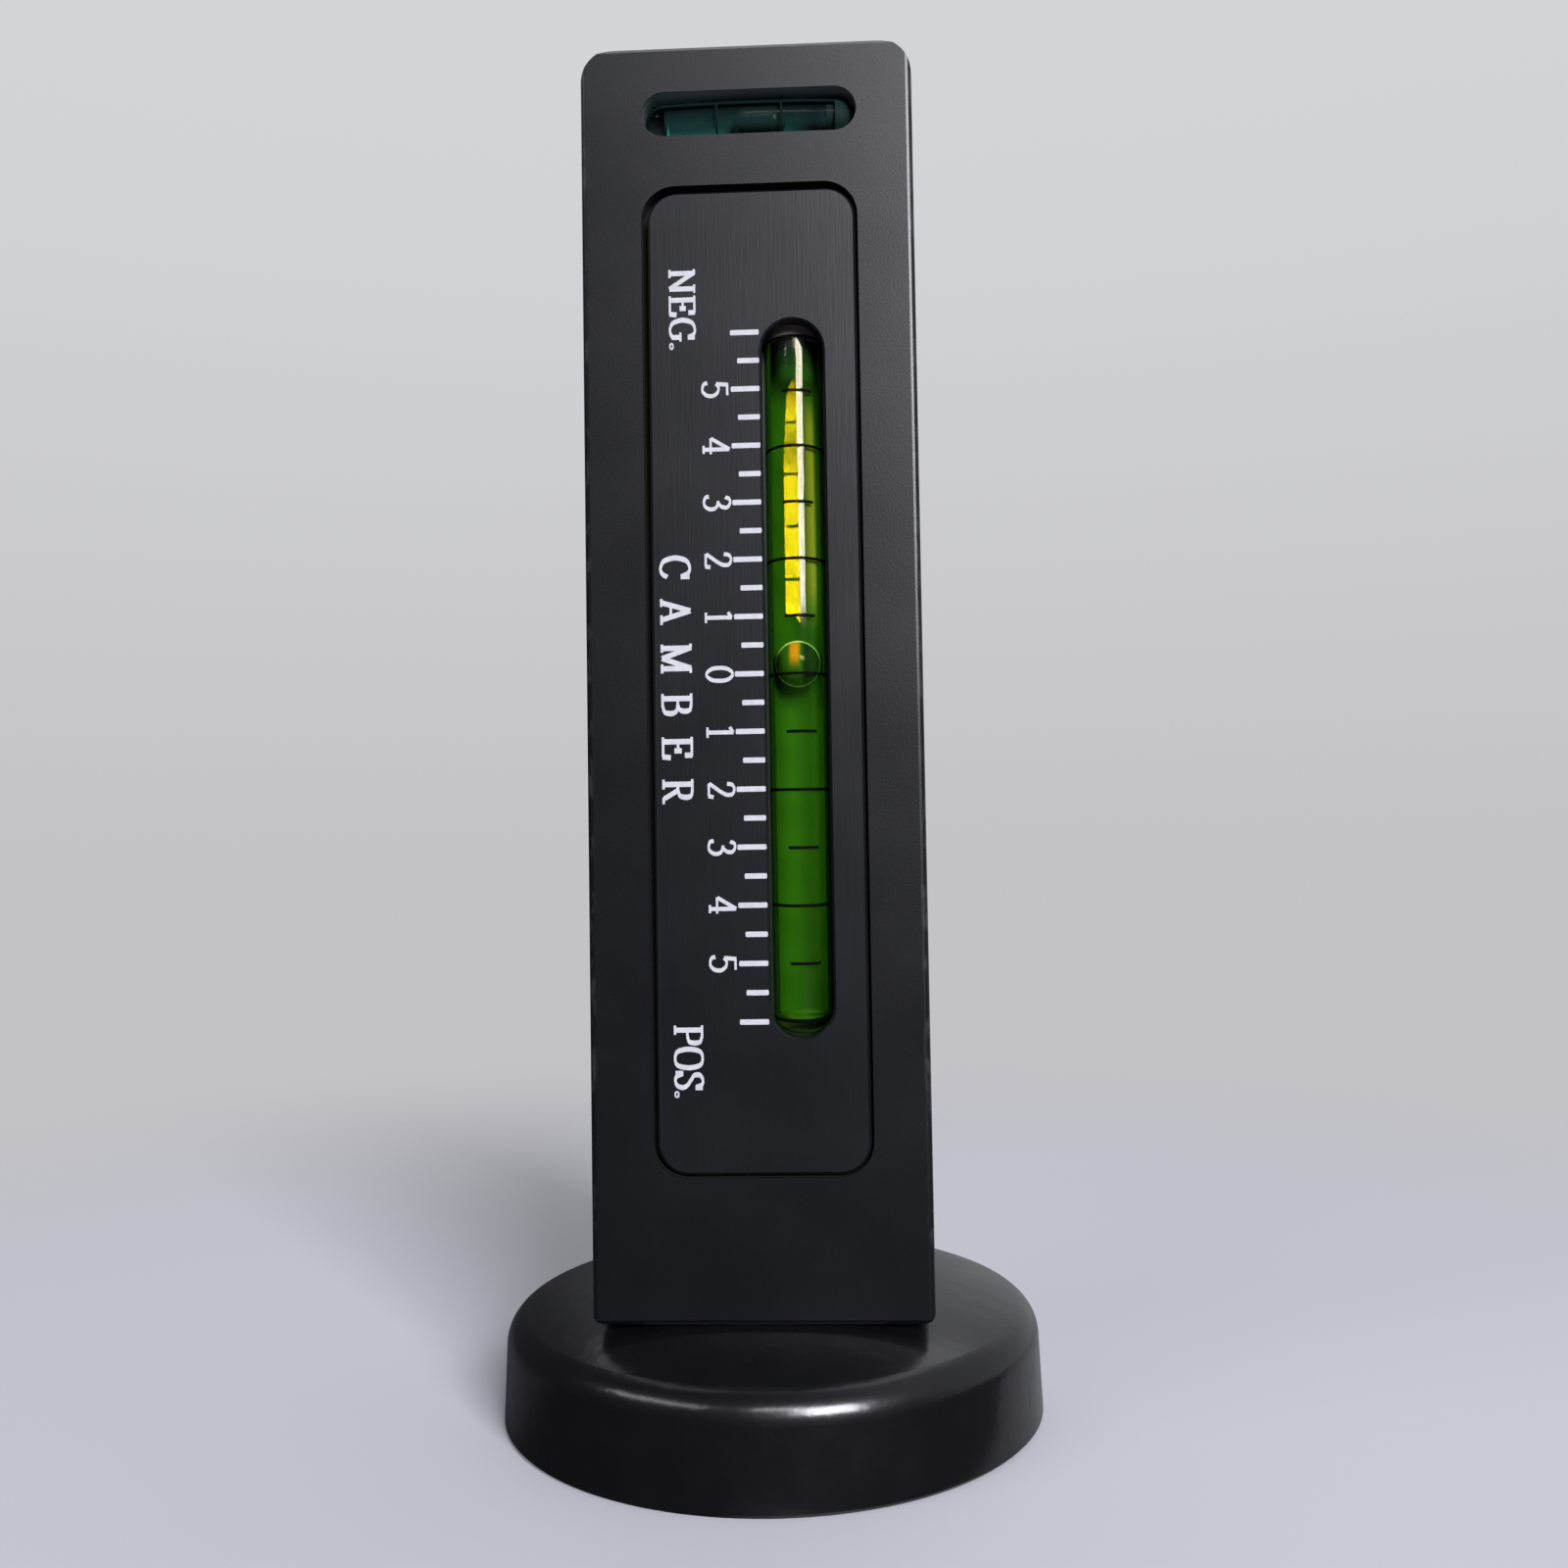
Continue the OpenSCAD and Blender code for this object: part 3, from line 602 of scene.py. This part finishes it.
# The spirit fills each bore, as a tube a gap thinner than it and with the same ends
for key, (vial, *_) in vialPlaces.items():
    top = vial["high"] - vial["stub"] - spirit["gap"]
    along, angle = np.meshgrid(np.linspace(-vial["low"] + spirit["gap"], top, spirit["rows"]),
                               np.linspace(0, 2 * np.pi, spirit["columns"], endpoint=False), indexing="ij")
    radius = np.full_like(along, vial["bore"] - spirit["gap"])
    mesh = joinTubes(key + "_spirit", [placeVial(key, onArc(vial, along, angle, radius))])
    far = np.clip(0.5 - np.cos(angle) / spirit["farSoft"], 0, 1)
    dyeAndPaintedLight = dyeAndPaintedLightOf(spirit["teal" if key == "level" else "green"], far, np.sin(angle), along, top)
    for name, kind, part, values in (("far", "FLOAT", "value", far), ("dyeAndPaintedLight", "FLOAT_COLOR", "color", dyeAndPaintedLight)):
        attribute = mesh.attributes.new(name, kind, "POINT")
        attribute.data.foreach_set(part, values.ravel().astype(np.float32))
    finish = levelLiquidFinish if key == "level" else liquidFinish
    newPiece(key + "_spirit", mesh, finish, "gauge")
    normals = bentNormals(key, vial, far, along, angle)
    mesh.normals_split_custom_set_from_vertices(normals.reshape(-1, 3).tolist())
print("spirit in the vials")

# Lengths in mm, and a line's half turn round the vial and the turn of its middle, in degrees. A count is the
# lines on each side of zero.
rings = {
    "width": 0.29, "thick": 0.02, "lift": 0.004, "columns": 40, "long": (88, 0), "short": (31, 8),
    "camberCount": 6, "casterCount": 4,
}
levelRings = {"width": 0.2, "turn": (80, 0), "at": (-3.1, 3.1)}


# A line printed round part of a vial: a flat band along the arc, closed on all sides
def ringPoints(vial, along, halfTurn, middle, width):
    angle = np.radians(np.linspace(middle - halfTurn, middle + halfTurn, rings["columns"]))[:, None]
    outline = np.array([[-0.5, 0], [0.5, 0], [0.5, 1], [-0.5, 1]])
    down = along + outline[None, :, 0] * width
    radius = vial["outer"] + rings["lift"] + outline[None, :, 1] * rings["thick"]
    return onArc(vial, down + 0 * angle, angle + 0 * down, radius + 0 * angle)


for key in ("camber", "left_caster", "right_caster"):
    step, last = gauge["degree"], rings["camberCount"]
    if key != "camber":
        step, last = 2 * gauge["casterDegree"], rings["casterCount"]
    bands = []
    for count in range(-last, last + 1):
        turn = rings["long" if count % 2 == 0 else "short"]
        bands.append(placeVial(key, ringPoints(curvedVial, count * step, *turn, rings["width"])))
    newPiece(key + "_ring_lines", joinTubes(key + "_ring_lines", bands), ringFinish, "gauge",
             smooth=False)
levelBands = [placeVial("level", ringPoints(levelVial, at, *levelRings["turn"], levelRings["width"]))
              for at in levelRings["at"]]
newPiece("level_ring_lines", joinTubes("level_ring_lines", levelBands), levelRingFinish, "gauge",
         smooth=False)
print("ring lines on the vials")

# Each character is strokes on a cap height of 1. A stroke is its points, and "c" means a smooth curve
# through them, "o" a closed smooth loop and "l" straight lines.
characters = {
    "0": (0.62, [("o", [(0.31, 0.98), (0.52, 0.75), (0.52, 0.25), (0.31, 0.02), (0.1, 0.25), (0.1, 0.75)])]),
    "1": (0.5, [("l", [(0.27, 0.02), (0.27, 0.98)]), ("l", [(0.08, 0.84), (0.27, 0.97)]),
                ("l", [(0.08, 0.03), (0.46, 0.03)])]),
    "2": (0.62, [("c", [(0.1, 0.72), (0.14, 0.9), (0.3, 0.98), (0.48, 0.9), (0.5, 0.7), (0.4, 0.5),
                        (0.22, 0.25), (0.08, 0.06)]),
                 ("l", [(0.08, 0.05), (0.54, 0.05)]), ("l", [(0.54, 0.03), (0.58, 0.22)])]),
    "3": (0.62, [("c", [(0.1, 0.8), (0.18, 0.95), (0.33, 0.97), (0.47, 0.87), (0.47, 0.7), (0.36, 0.57),
                        (0.24, 0.53)]),
                 ("c", [(0.24, 0.53), (0.42, 0.5), (0.53, 0.37), (0.52, 0.18), (0.4, 0.04), (0.24, 0.02),
                        (0.1, 0.08), (0.07, 0.2)])]),
    "4": (0.66, [("l", [(0.45, 0.98), (0.04, 0.3)]), ("l", [(0.03, 0.29), (0.62, 0.29)]),
                 ("l", [(0.45, 0.02), (0.45, 0.98)]), ("l", [(0.3, 0.03), (0.6, 0.03)])]),
    "5": (0.62, [("l", [(0.13, 0.93), (0.53, 0.93)]), ("l", [(0.14, 0.96), (0.1, 0.52)]),
                 ("c", [(0.1, 0.52), (0.24, 0.61), (0.42, 0.57), (0.54, 0.4), (0.52, 0.18), (0.38, 0.03),
                        (0.22, 0.02), (0.09, 0.08), (0.06, 0.2)])]),
    "6": (0.62, [("c", [(0.52, 0.9), (0.38, 0.97), (0.2, 0.85), (0.1, 0.6), (0.08, 0.32), (0.16, 0.1),
                        (0.32, 0.02), (0.5, 0.13), (0.54, 0.32), (0.46, 0.5), (0.32, 0.56), (0.17, 0.48),
                        (0.09, 0.34)])]),
    "8": (0.62, [("o", [(0.31, 0.98), (0.48, 0.87), (0.46, 0.66), (0.31, 0.55), (0.16, 0.66), (0.14, 0.87)]),
                 ("o", [(0.31, 0.55), (0.51, 0.4), (0.51, 0.14), (0.31, 0.02), (0.11, 0.14), (0.11, 0.4)])]),
    "N": (0.86, [("l", [(0.16, 0.02), (0.16, 0.98)]), ("l", [(0.14, 0.98), (0.7, 0.02)]),
                 ("l", [(0.71, 0.02), (0.71, 0.98)]), ("l", [(0.02, 0.03), (0.31, 0.03)]),
                 ("l", [(0.02, 0.97), (0.2, 0.97)]), ("l", [(0.56, 0.97), (0.86, 0.97)])]),
    "E": (0.78, [("l", [(0.2, 0.02), (0.2, 0.98)]), ("l", [(0.05, 0.97), (0.66, 0.97)]),
                 ("l", [(0.2, 0.52), (0.5, 0.52)]), ("l", [(0.05, 0.03), (0.7, 0.03)]),
                 ("l", [(0.65, 0.99), (0.65, 0.74)]), ("l", [(0.69, 0.01), (0.72, 0.28)]),
                 ("l", [(0.5, 0.4), (0.5, 0.64)])]),
    "G": (0.84, [("c", [(0.69, 0.75), (0.6, 0.92), (0.42, 0.98), (0.2, 0.88), (0.1, 0.62), (0.1, 0.38),
                        (0.2, 0.12), (0.42, 0.02), (0.6, 0.06), (0.69, 0.14)]),
                 ("l", [(0.69, 0.08), (0.69, 0.42)]), ("l", [(0.52, 0.42), (0.84, 0.42)]),
                 ("l", [(0.7, 0.97), (0.7, 0.7)])]),
    ".": (0.3, [("o", [(0.12, 0.11), (0.16, 0.07), (0.12, 0.03), (0.08, 0.07)])]),
    "C": (0.82, [("c", [(0.7, 0.74), (0.6, 0.92), (0.42, 0.98), (0.2, 0.88), (0.1, 0.62), (0.1, 0.38),
                        (0.2, 0.12), (0.42, 0.02), (0.6, 0.07), (0.72, 0.24)]),
                 ("l", [(0.71, 0.97), (0.71, 0.68)])]),
    "A": (0.86, [("l", [(0.41, 0.98), (0.12, 0.02)]), ("l", [(0.41, 0.98), (0.7, 0.02)]),
                 ("l", [(0.2, 0.34), (0.6, 0.34)]), ("l", [(0.0, 0.03), (0.26, 0.03)]),
                 ("l", [(0.54, 0.03), (0.86, 0.03)])]),
    "M": (1.0, [("l", [(0.16, 0.02), (0.16, 0.98)]), ("l", [(0.15, 0.98), (0.49, 0.03)]),
                ("l", [(0.49, 0.03), (0.82, 0.98)]), ("l", [(0.83, 0.02), (0.83, 0.98)]),
                ("l", [(0.03, 0.03), (0.3, 0.03)]), ("l", [(0.68, 0.03), (0.98, 0.03)]),
                ("l", [(0.02, 0.97), (0.2, 0.97)]), ("l", [(0.8, 0.97), (0.98, 0.97)])]),
    "B": (0.8, [("l", [(0.2, 0.02), (0.2, 0.98)]), ("l", [(0.04, 0.97), (0.4, 0.97)]),
                ("c", [(0.4, 0.97), (0.57, 0.92), (0.62, 0.76), (0.56, 0.59), (0.4, 0.53)]),
                ("l", [(0.2, 0.53), (0.42, 0.53)]),
                ("c", [(0.42, 0.53), (0.62, 0.47), (0.69, 0.29), (0.63, 0.1), (0.42, 0.03)]),
                ("l", [(0.04, 0.03), (0.42, 0.03)])]),
    "R": (0.86, [("l", [(0.2, 0.02), (0.2, 0.98)]), ("l", [(0.04, 0.97), (0.4, 0.97)]),
                 ("c", [(0.4, 0.97), (0.58, 0.92), (0.63, 0.75), (0.57, 0.57), (0.4, 0.5)]),
                 ("l", [(0.2, 0.5), (0.42, 0.5)]), ("l", [(0.4, 0.5), (0.66, 0.06)]),
                 ("l", [(0.62, 0.03), (0.84, 0.03)]), ("l", [(0.04, 0.03), (0.36, 0.03)])]),
    "P": (0.76, [("l", [(0.2, 0.02), (0.2, 0.98)]), ("l", [(0.04, 0.97), (0.42, 0.97)]),
                 ("c", [(0.42, 0.97), (0.6, 0.9), (0.65, 0.72), (0.6, 0.53), (0.42, 0.46)]),
                 ("l", [(0.2, 0.46), (0.42, 0.46)]), ("l", [(0.04, 0.03), (0.36, 0.03)])]),
    "O": (0.86, [("o", [(0.42, 0.98), (0.66, 0.88), (0.74, 0.5), (0.66, 0.12), (0.42, 0.02), (0.18, 0.12),
                        (0.1, 0.5), (0.18, 0.88)])]),
    "S": (0.68, [("c", [(0.55, 0.76), (0.48, 0.93), (0.32, 0.98), (0.15, 0.89), (0.14, 0.7), (0.3, 0.57),
                        (0.48, 0.44), (0.56, 0.28), (0.5, 0.1), (0.34, 0.02), (0.18, 0.07), (0.09, 0.26)]),
                 ("l", [(0.57, 0.97), (0.57, 0.72)]), ("l", [(0.07, 0.03), (0.07, 0.3)])]),
}


curveSteps = 6  # points from one given point of a curved stroke to the next


# Points of a stroke: straight as given, or a Catmull-Rom curve through them in even steps
def strokePath(kind, points):
    points = np.array(points, float)
    if kind == "l":
        return points
    if kind == "o":
        points = np.concatenate([points[-1:], points, points[:2]])
    else:
        points = np.concatenate([2 * points[:1] - points[1:2], points, 2 * points[-1:] - points[-2:-1]])
    step = np.linspace(0, 1, curveSteps, endpoint=False)[None, :, None]
    before, here, there, after = (points[i:len(points) - 3 + i][:, None, :] for i in range(4))
    square = 2 * before - 5 * here + 4 * there - after
    cube = 3 * here - before - 3 * there + after
    curve = 0.5 * (2 * here + (there - before) * step + square * step ** 2 + cube * step ** 3).reshape(-1, 2)
    return curve if kind == "o" else np.concatenate([curve, points[-2:-1]])


# Widths are parts of the letters' height, and swell is how fast a stroke widens as it turns upright
finePen = {"thin": 0.085, "thick": 0.15, "squeeze": 1.0, "swell": 1.5}
# The printing's ink in mm: how far its foot is sunk, how thick it is, and how much more each stroke is, so
# that no two lie in one plane
ink = {"sunk": 0.004, "thick": 0.024, "layer": 0.001}


# A stroke as a ribbon drawn by a broad pen: wide where it runs up or down, thin where it runs across
def ribbon(kind, points, pen):
    path = strokePath(kind, points)
    if kind == "o":
        along = np.roll(path, -1, axis=0) - np.roll(path, 1, axis=0)
    else:
        along = np.gradient(path, axis=0)
    along /= np.linalg.norm(along, axis=1, keepdims=True)
    width = pen["thin"] + (pen["thick"] - pen["thin"]) * np.abs(along[:, 1:2]) ** pen["swell"]
    side = np.stack([-along[:, 1], along[:, 0]], axis=1) * width / 2
    if kind == "o":
        path, side = np.concatenate([path, path[:1]]), np.concatenate([side, side[:1]])
    return path - side, path + side


# A flat slab of ink on a face, between two edges of points (x right, y up)
def inkSlab(left, right, turn, faceN, thick):
    rows = []
    for edge, lift in ((left, 0.0), (right, 0.0), (right, thick), (left, thick)):
        rows.append(np.column_stack([edge, np.full(len(edge), faceN - ink["sunk"] + lift)]))
    return onFace(np.stack(rows, axis=1), turn)


# Slabs for a text that is read downwards, so that the tops of its characters look to the right
def letterSlabs(text, height, centre, turn, faceN, pen, spread=0.0):
    slabs = []
    widths = [characters[c][0] * height * pen["squeeze"] for c in text]
    cursor = -(sum(widths) + spread * (len(text) - 1)) / 2
    for c, width in zip(text, widths):
        for layer, (kind, points) in enumerate(characters[c][1]):
            edges = []
            for edge in ribbon(kind, points, pen):
                reading = cursor + edge[:, 0] * height * pen["squeeze"]
                upward = (edge[:, 1] - 0.5) * height
                edges.append(np.stack([centre[0] + upward, centre[1] - reading], axis=1))
            slabs.append(inkSlab(*edges, turn, faceN, ink["thick"] + ink["layer"] * layer))
        cursor += width + spread
    return slabs


# A tick's rounded ends as parts of its thickness: how long they are, and half their width at the tip
tick = {"round": 0.12, "endHalf": 0.3}


# A tick: a flat slab whose outline is a bar with softly rounded ends
def tickSlab(left, right, middle, thick, turn, faceN):
    reach = tick["round"] * thick
    x = np.array([left, left + reach, right - reach, right])
    half = np.array([tick["endHalf"], 0.5, 0.5, tick["endHalf"]]) * thick
    edges = (np.stack([x, middle + side * half], axis=1) for side in (-1, 1))
    return inkSlab(*edges, turn, faceN, ink["thick"])


# A scale up a face: count steps each way from zero, of which every second one is long. The long ones have
# numbers as far as lastNumber steps, and perNumber steps make one.
def scaleSlabs(look, turn, faceN):
    slabs = []
    for count in range(-look["count"], look["count"] + 1):
        z = gauge["zeroZ"] + count * look["step"]
        length = look["long" if count % 2 == 0 else "short"]
        slabs.append(tickSlab(look["right"] - length, look["right"], z, look["thick"], turn, faceN))
        if count % 2 == 0 and abs(count) <= look["lastNumber"]:
            slabs += letterSlabs(str(abs(count) // look["perNumber"]), look["numberHeight"],
                                 (look["numberX"], z), turn, faceN, finePen)
    return slabs


plateScale = {
    "step": gauge["degree"] / 2, "count": 12, "lastNumber": 10, "perNumber": 2, "right": 0.96, "long": 2.75,
    "short": 2.1, "thick": 0.5, "numberX": -3.25, "numberHeight": 2.6,
}
sideScale = {
    "step": gauge["casterDegree"], "count": 8, "lastNumber": 8, "perNumber": 1, "right": -3.75, "long": 2.6,
    "short": 1.7, "thick": 0.42, "numberX": -8.1, "numberHeight": 2.4,
}
boldPen = {**finePen, "thick": 0.175}
# Each word, its height, its middle on the plate, the room between its letters, and its letters' squeeze
words = [
    ("NEG.", 2.5, (-6.35, 108.6), 0.12, 1.1), ("CAMBER", 2.9, (-7.35, 73.05), 1.78, 1.0),
    ("POS.", 2.7, (-6.65, 37.0), 0.0, 1.0),
]
slabs = scaleSlabs(plateScale, 0, gauge["plateFace"])
for text, height, centre, spread, squeeze in words:
    wordPen = {**boldPen, "squeeze": squeeze}
    slabs += letterSlabs(text, height, centre, 0, gauge["plateFace"], wordPen, spread)
newPiece("plate_printing", joinTubes("plate_printing", slabs), inkFinish, "gauge",
         smooth=False)
for name, turn in (("left_printing", -90), ("right_printing", 90)):
    slabs = scaleSlabs(sideScale, turn, gauge["blockHalf"])
    newPiece(name, joinTubes(name, slabs), inkFinish, "gauge", smooth=False)
print("scales printed")

# Spans in mm. What the gauge mirrors of the floor is dark, but for the lit parts: behind a line that runs
# back to the right with this slope, far off at the right, and a little at the left.
paint = {
    "colour": "#bfc0c5", "mirrored": "#303033", "reach": 1200.0, "fade": (50.0, 260.0),
    "slope": 0.56, "behind": (-32.4, -30.4), "behindLit": 0.5, "leftSide": (-16.0, -2.0), "leftLit": 0.1,
    "middle": (-4.0, 4.0), "farOff": (90.0, 160.0), "farLit": 0.7, "rightSide": (-10.0, 30.0),
}


# Matt pale paint that fades into the backdrop, and mirrors dark in front of the gauge
def studioPaint():
    material, tree = newMaterial("matt_studio_paint")
    spot = addNode(tree, "ShaderNodeTexCoord").outputs["Object"]
    away = addNode(tree, "ShaderNodeVectorMath", {"operation": "LENGTH"}, {0: spot}).outputs["Value"]
    place = spotOf(tree)
    x, y = place["X"], place["Y"]
    pastLine = mathOf(tree, "SUBTRACT", y, product(tree, x, paint["slope"]))
    litBehind = remapMm(tree, pastLine, paint["behind"], 0.0, paint["behindLit"])
    litLeft = remapMm(tree, y, paint["leftSide"], 0.0, paint["leftLit"], "SMOOTHSTEP")
    onRight = remapMm(tree, x, paint["middle"])
    litNear = mathOf(tree, "ADD", product(tree, litBehind, onRight),
                     product(tree, litLeft, mathOf(tree, "SUBTRACT", 1.0, onRight)))
    litFar = product(tree, remapMm(tree, away, paint["farOff"], 0.0, paint["farLit"]),
                     remapMm(tree, x, paint["rightSide"]))
    unlit = mathOf(tree, "SUBTRACT", 1.0, mathOf(tree, "MAXIMUM", litFar, litNear))
    mirrored = product(tree, addNode(tree, "ShaderNodeLightPath").outputs["Is Glossy Ray"], unlit)
    pale, dark = (plainShader(tree, "ShaderNodeBsdfDiffuse", paint[key]) for key in ("colour", "mirrored"))
    clear = addNode(tree, "ShaderNodeBsdfTransparent").outputs["BSDF"]
    fade = remapMm(tree, away, paint["fade"], kind="SMOOTHSTEP")
    endMaterial(tree, mixShader(tree, fade, mixShader(tree, mirrored, pale, dark), clear))
    return material


reach = paint["reach"] * mm
stageMesh = bpy.data.meshes.new("studio_floor")
stageMesh.from_pydata([(-reach, -reach, 0), (reach, -reach, 0), (reach, reach, 0), (-reach, reach, 0)], [],
                      [(0, 1, 2, 3)])
stageMesh.materials.append(studioPaint())
stageFloor = bpy.data.objects.new("studio_floor", stageMesh)
bpy.context.scene.collection.objects.link(stageFloor)

# The light fades from bright to dim over a span of the cosine of the angle to toward, and the backdrop from
# high to low over a span of the height looked at
room = {
    "toward": (0.709, 0.497, 0.5), "cosine": (0.25, 0.85), "dim": 0.05, "bright": 0.5, "light": "#f0f2f8",
    "low": "#c3c2c7", "high": "#d3d4d7", "height": (-0.1, 0.5),
}


# The room: pale behind and at the right, dim in front where the photographer stands, and an even pale
# backdrop to look at
def studioWorld():
    world = bpy.data.worlds.new("studio_world")
    world.use_nodes = True
    tree = world.node_tree
    tree.nodes.clear()
    sky = addNode(tree, "ShaderNodeTexCoord").outputs["Generated"]
    upward = addNode(tree, "ShaderNodeSeparateXYZ", links={"Vector": sky}).outputs["Z"]
    strength = remap(tree, dotOf(tree, sky, room["toward"]), room["cosine"], room["dim"], room["bright"],
                     "SMOOTHSTEP")
    backdrop = mixColour(tree, remap(tree, upward, room["height"], kind="SMOOTHSTEP"),
                         linear(room["low"]), linear(room["high"]))
    lit = plainShader(tree, "ShaderNodeBackground", room["light"], links={"Strength": strength})
    shown = plainShader(tree, "ShaderNodeBackground", backdrop, {"Strength": 1.0})
    looking = addNode(tree, "ShaderNodeLightPath").outputs["Is Camera Ray"]
    addNode(tree, "ShaderNodeOutputWorld", links={"Surface": mixShader(tree, looking, lit, shown)})
    return world


bpy.context.scene.world = studioWorld()


# Puts a lamp or camera at a place in mm, looking along forward
def setPlace(thing, place, right, up, forward):
    rows = [[right[i], up[i], -forward[i], place[i] * mm] for i in range(3)]
    thing.matrix_world = Matrix(rows + [[0, 0, 0, 1]])


# A softbox that looks at a target: places in mm, width and height in mm, and watts
def softbox(name, place, size, power, colour, target=(0, 0, 80)):
    light = bpy.data.lights.new(name, "AREA")
    light.shape = "RECTANGLE"
    light.size, light.size_y = size[0] * mm, size[1] * mm
    light.energy = power
    light.color = linear(colour)[:3]
    lamp = bpy.data.objects.new(name, light)
    bpy.context.scene.collection.objects.link(lamp)
    forward = np.array(target, float) - np.array(place, float)
    forward /= np.linalg.norm(forward)
    right = np.cross(forward, [0, 0, 1])
    right /= np.linalg.norm(right)
    setPlace(lamp, place, right, np.cross(right, forward), forward)
    lamp.visible_camera = False


softbox("key_softbox", (652, -1368, 707), (630, 655), 46.0, "#f7f6ff")
softbox("left_softbox", (-1968, -1580, 1824), (2174, 424), 17.4, "#f8f8fc")
softbox("front_softbox", (174, -2518, 1824), (792, 424), 10.5, "#f8f8fc")
softbox("overhead_softbox", (0, 500, 1000), (1000, 1000), 2.3, "#fdfdff", (0, 150, 0))

# The camera's place in mm, its turns in radians, and its focal length and picture width in pixels
eye = {
    "place": (8.74, -153.16, 57.17), "yaw": 0.044, "pitch": 0.042, "roll": -0.016, "focal": 1487.7,
    "width": 1600, "sensor": 36.0, "near": 10.0, "far": 10000.0,
}


# The camera looks along +y turned left by yaw and up by pitch, and is turned by roll about the way it looks
def aimCamera(camera):
    yaw, pitch, roll = eye["yaw"], eye["pitch"], eye["roll"]
    forward = np.array([-math.sin(yaw) * math.cos(pitch), math.cos(yaw) * math.cos(pitch), math.sin(pitch)])
    level = np.array([math.cos(yaw), math.sin(yaw), 0.0])
    upright = np.cross(level, forward)
    right = math.cos(roll) * level + math.sin(roll) * upright
    up = -math.sin(roll) * level + math.cos(roll) * upright
    setPlace(camera, eye["place"], right, up, forward)


lens = bpy.data.cameras.new("camera")
lens.sensor_width = eye["sensor"]
lens.lens = eye["focal"] / eye["width"] * eye["sensor"]
lens.clip_start, lens.clip_end = eye["near"] * mm, eye["far"] * mm
camera = bpy.data.objects.new("camera", lens)
bpy.context.scene.collection.objects.link(camera)
aimCamera(camera)
bpy.context.scene.camera = camera
bpy.context.scene.view_settings.view_transform = "Standard"
print("stage, lights and camera set")
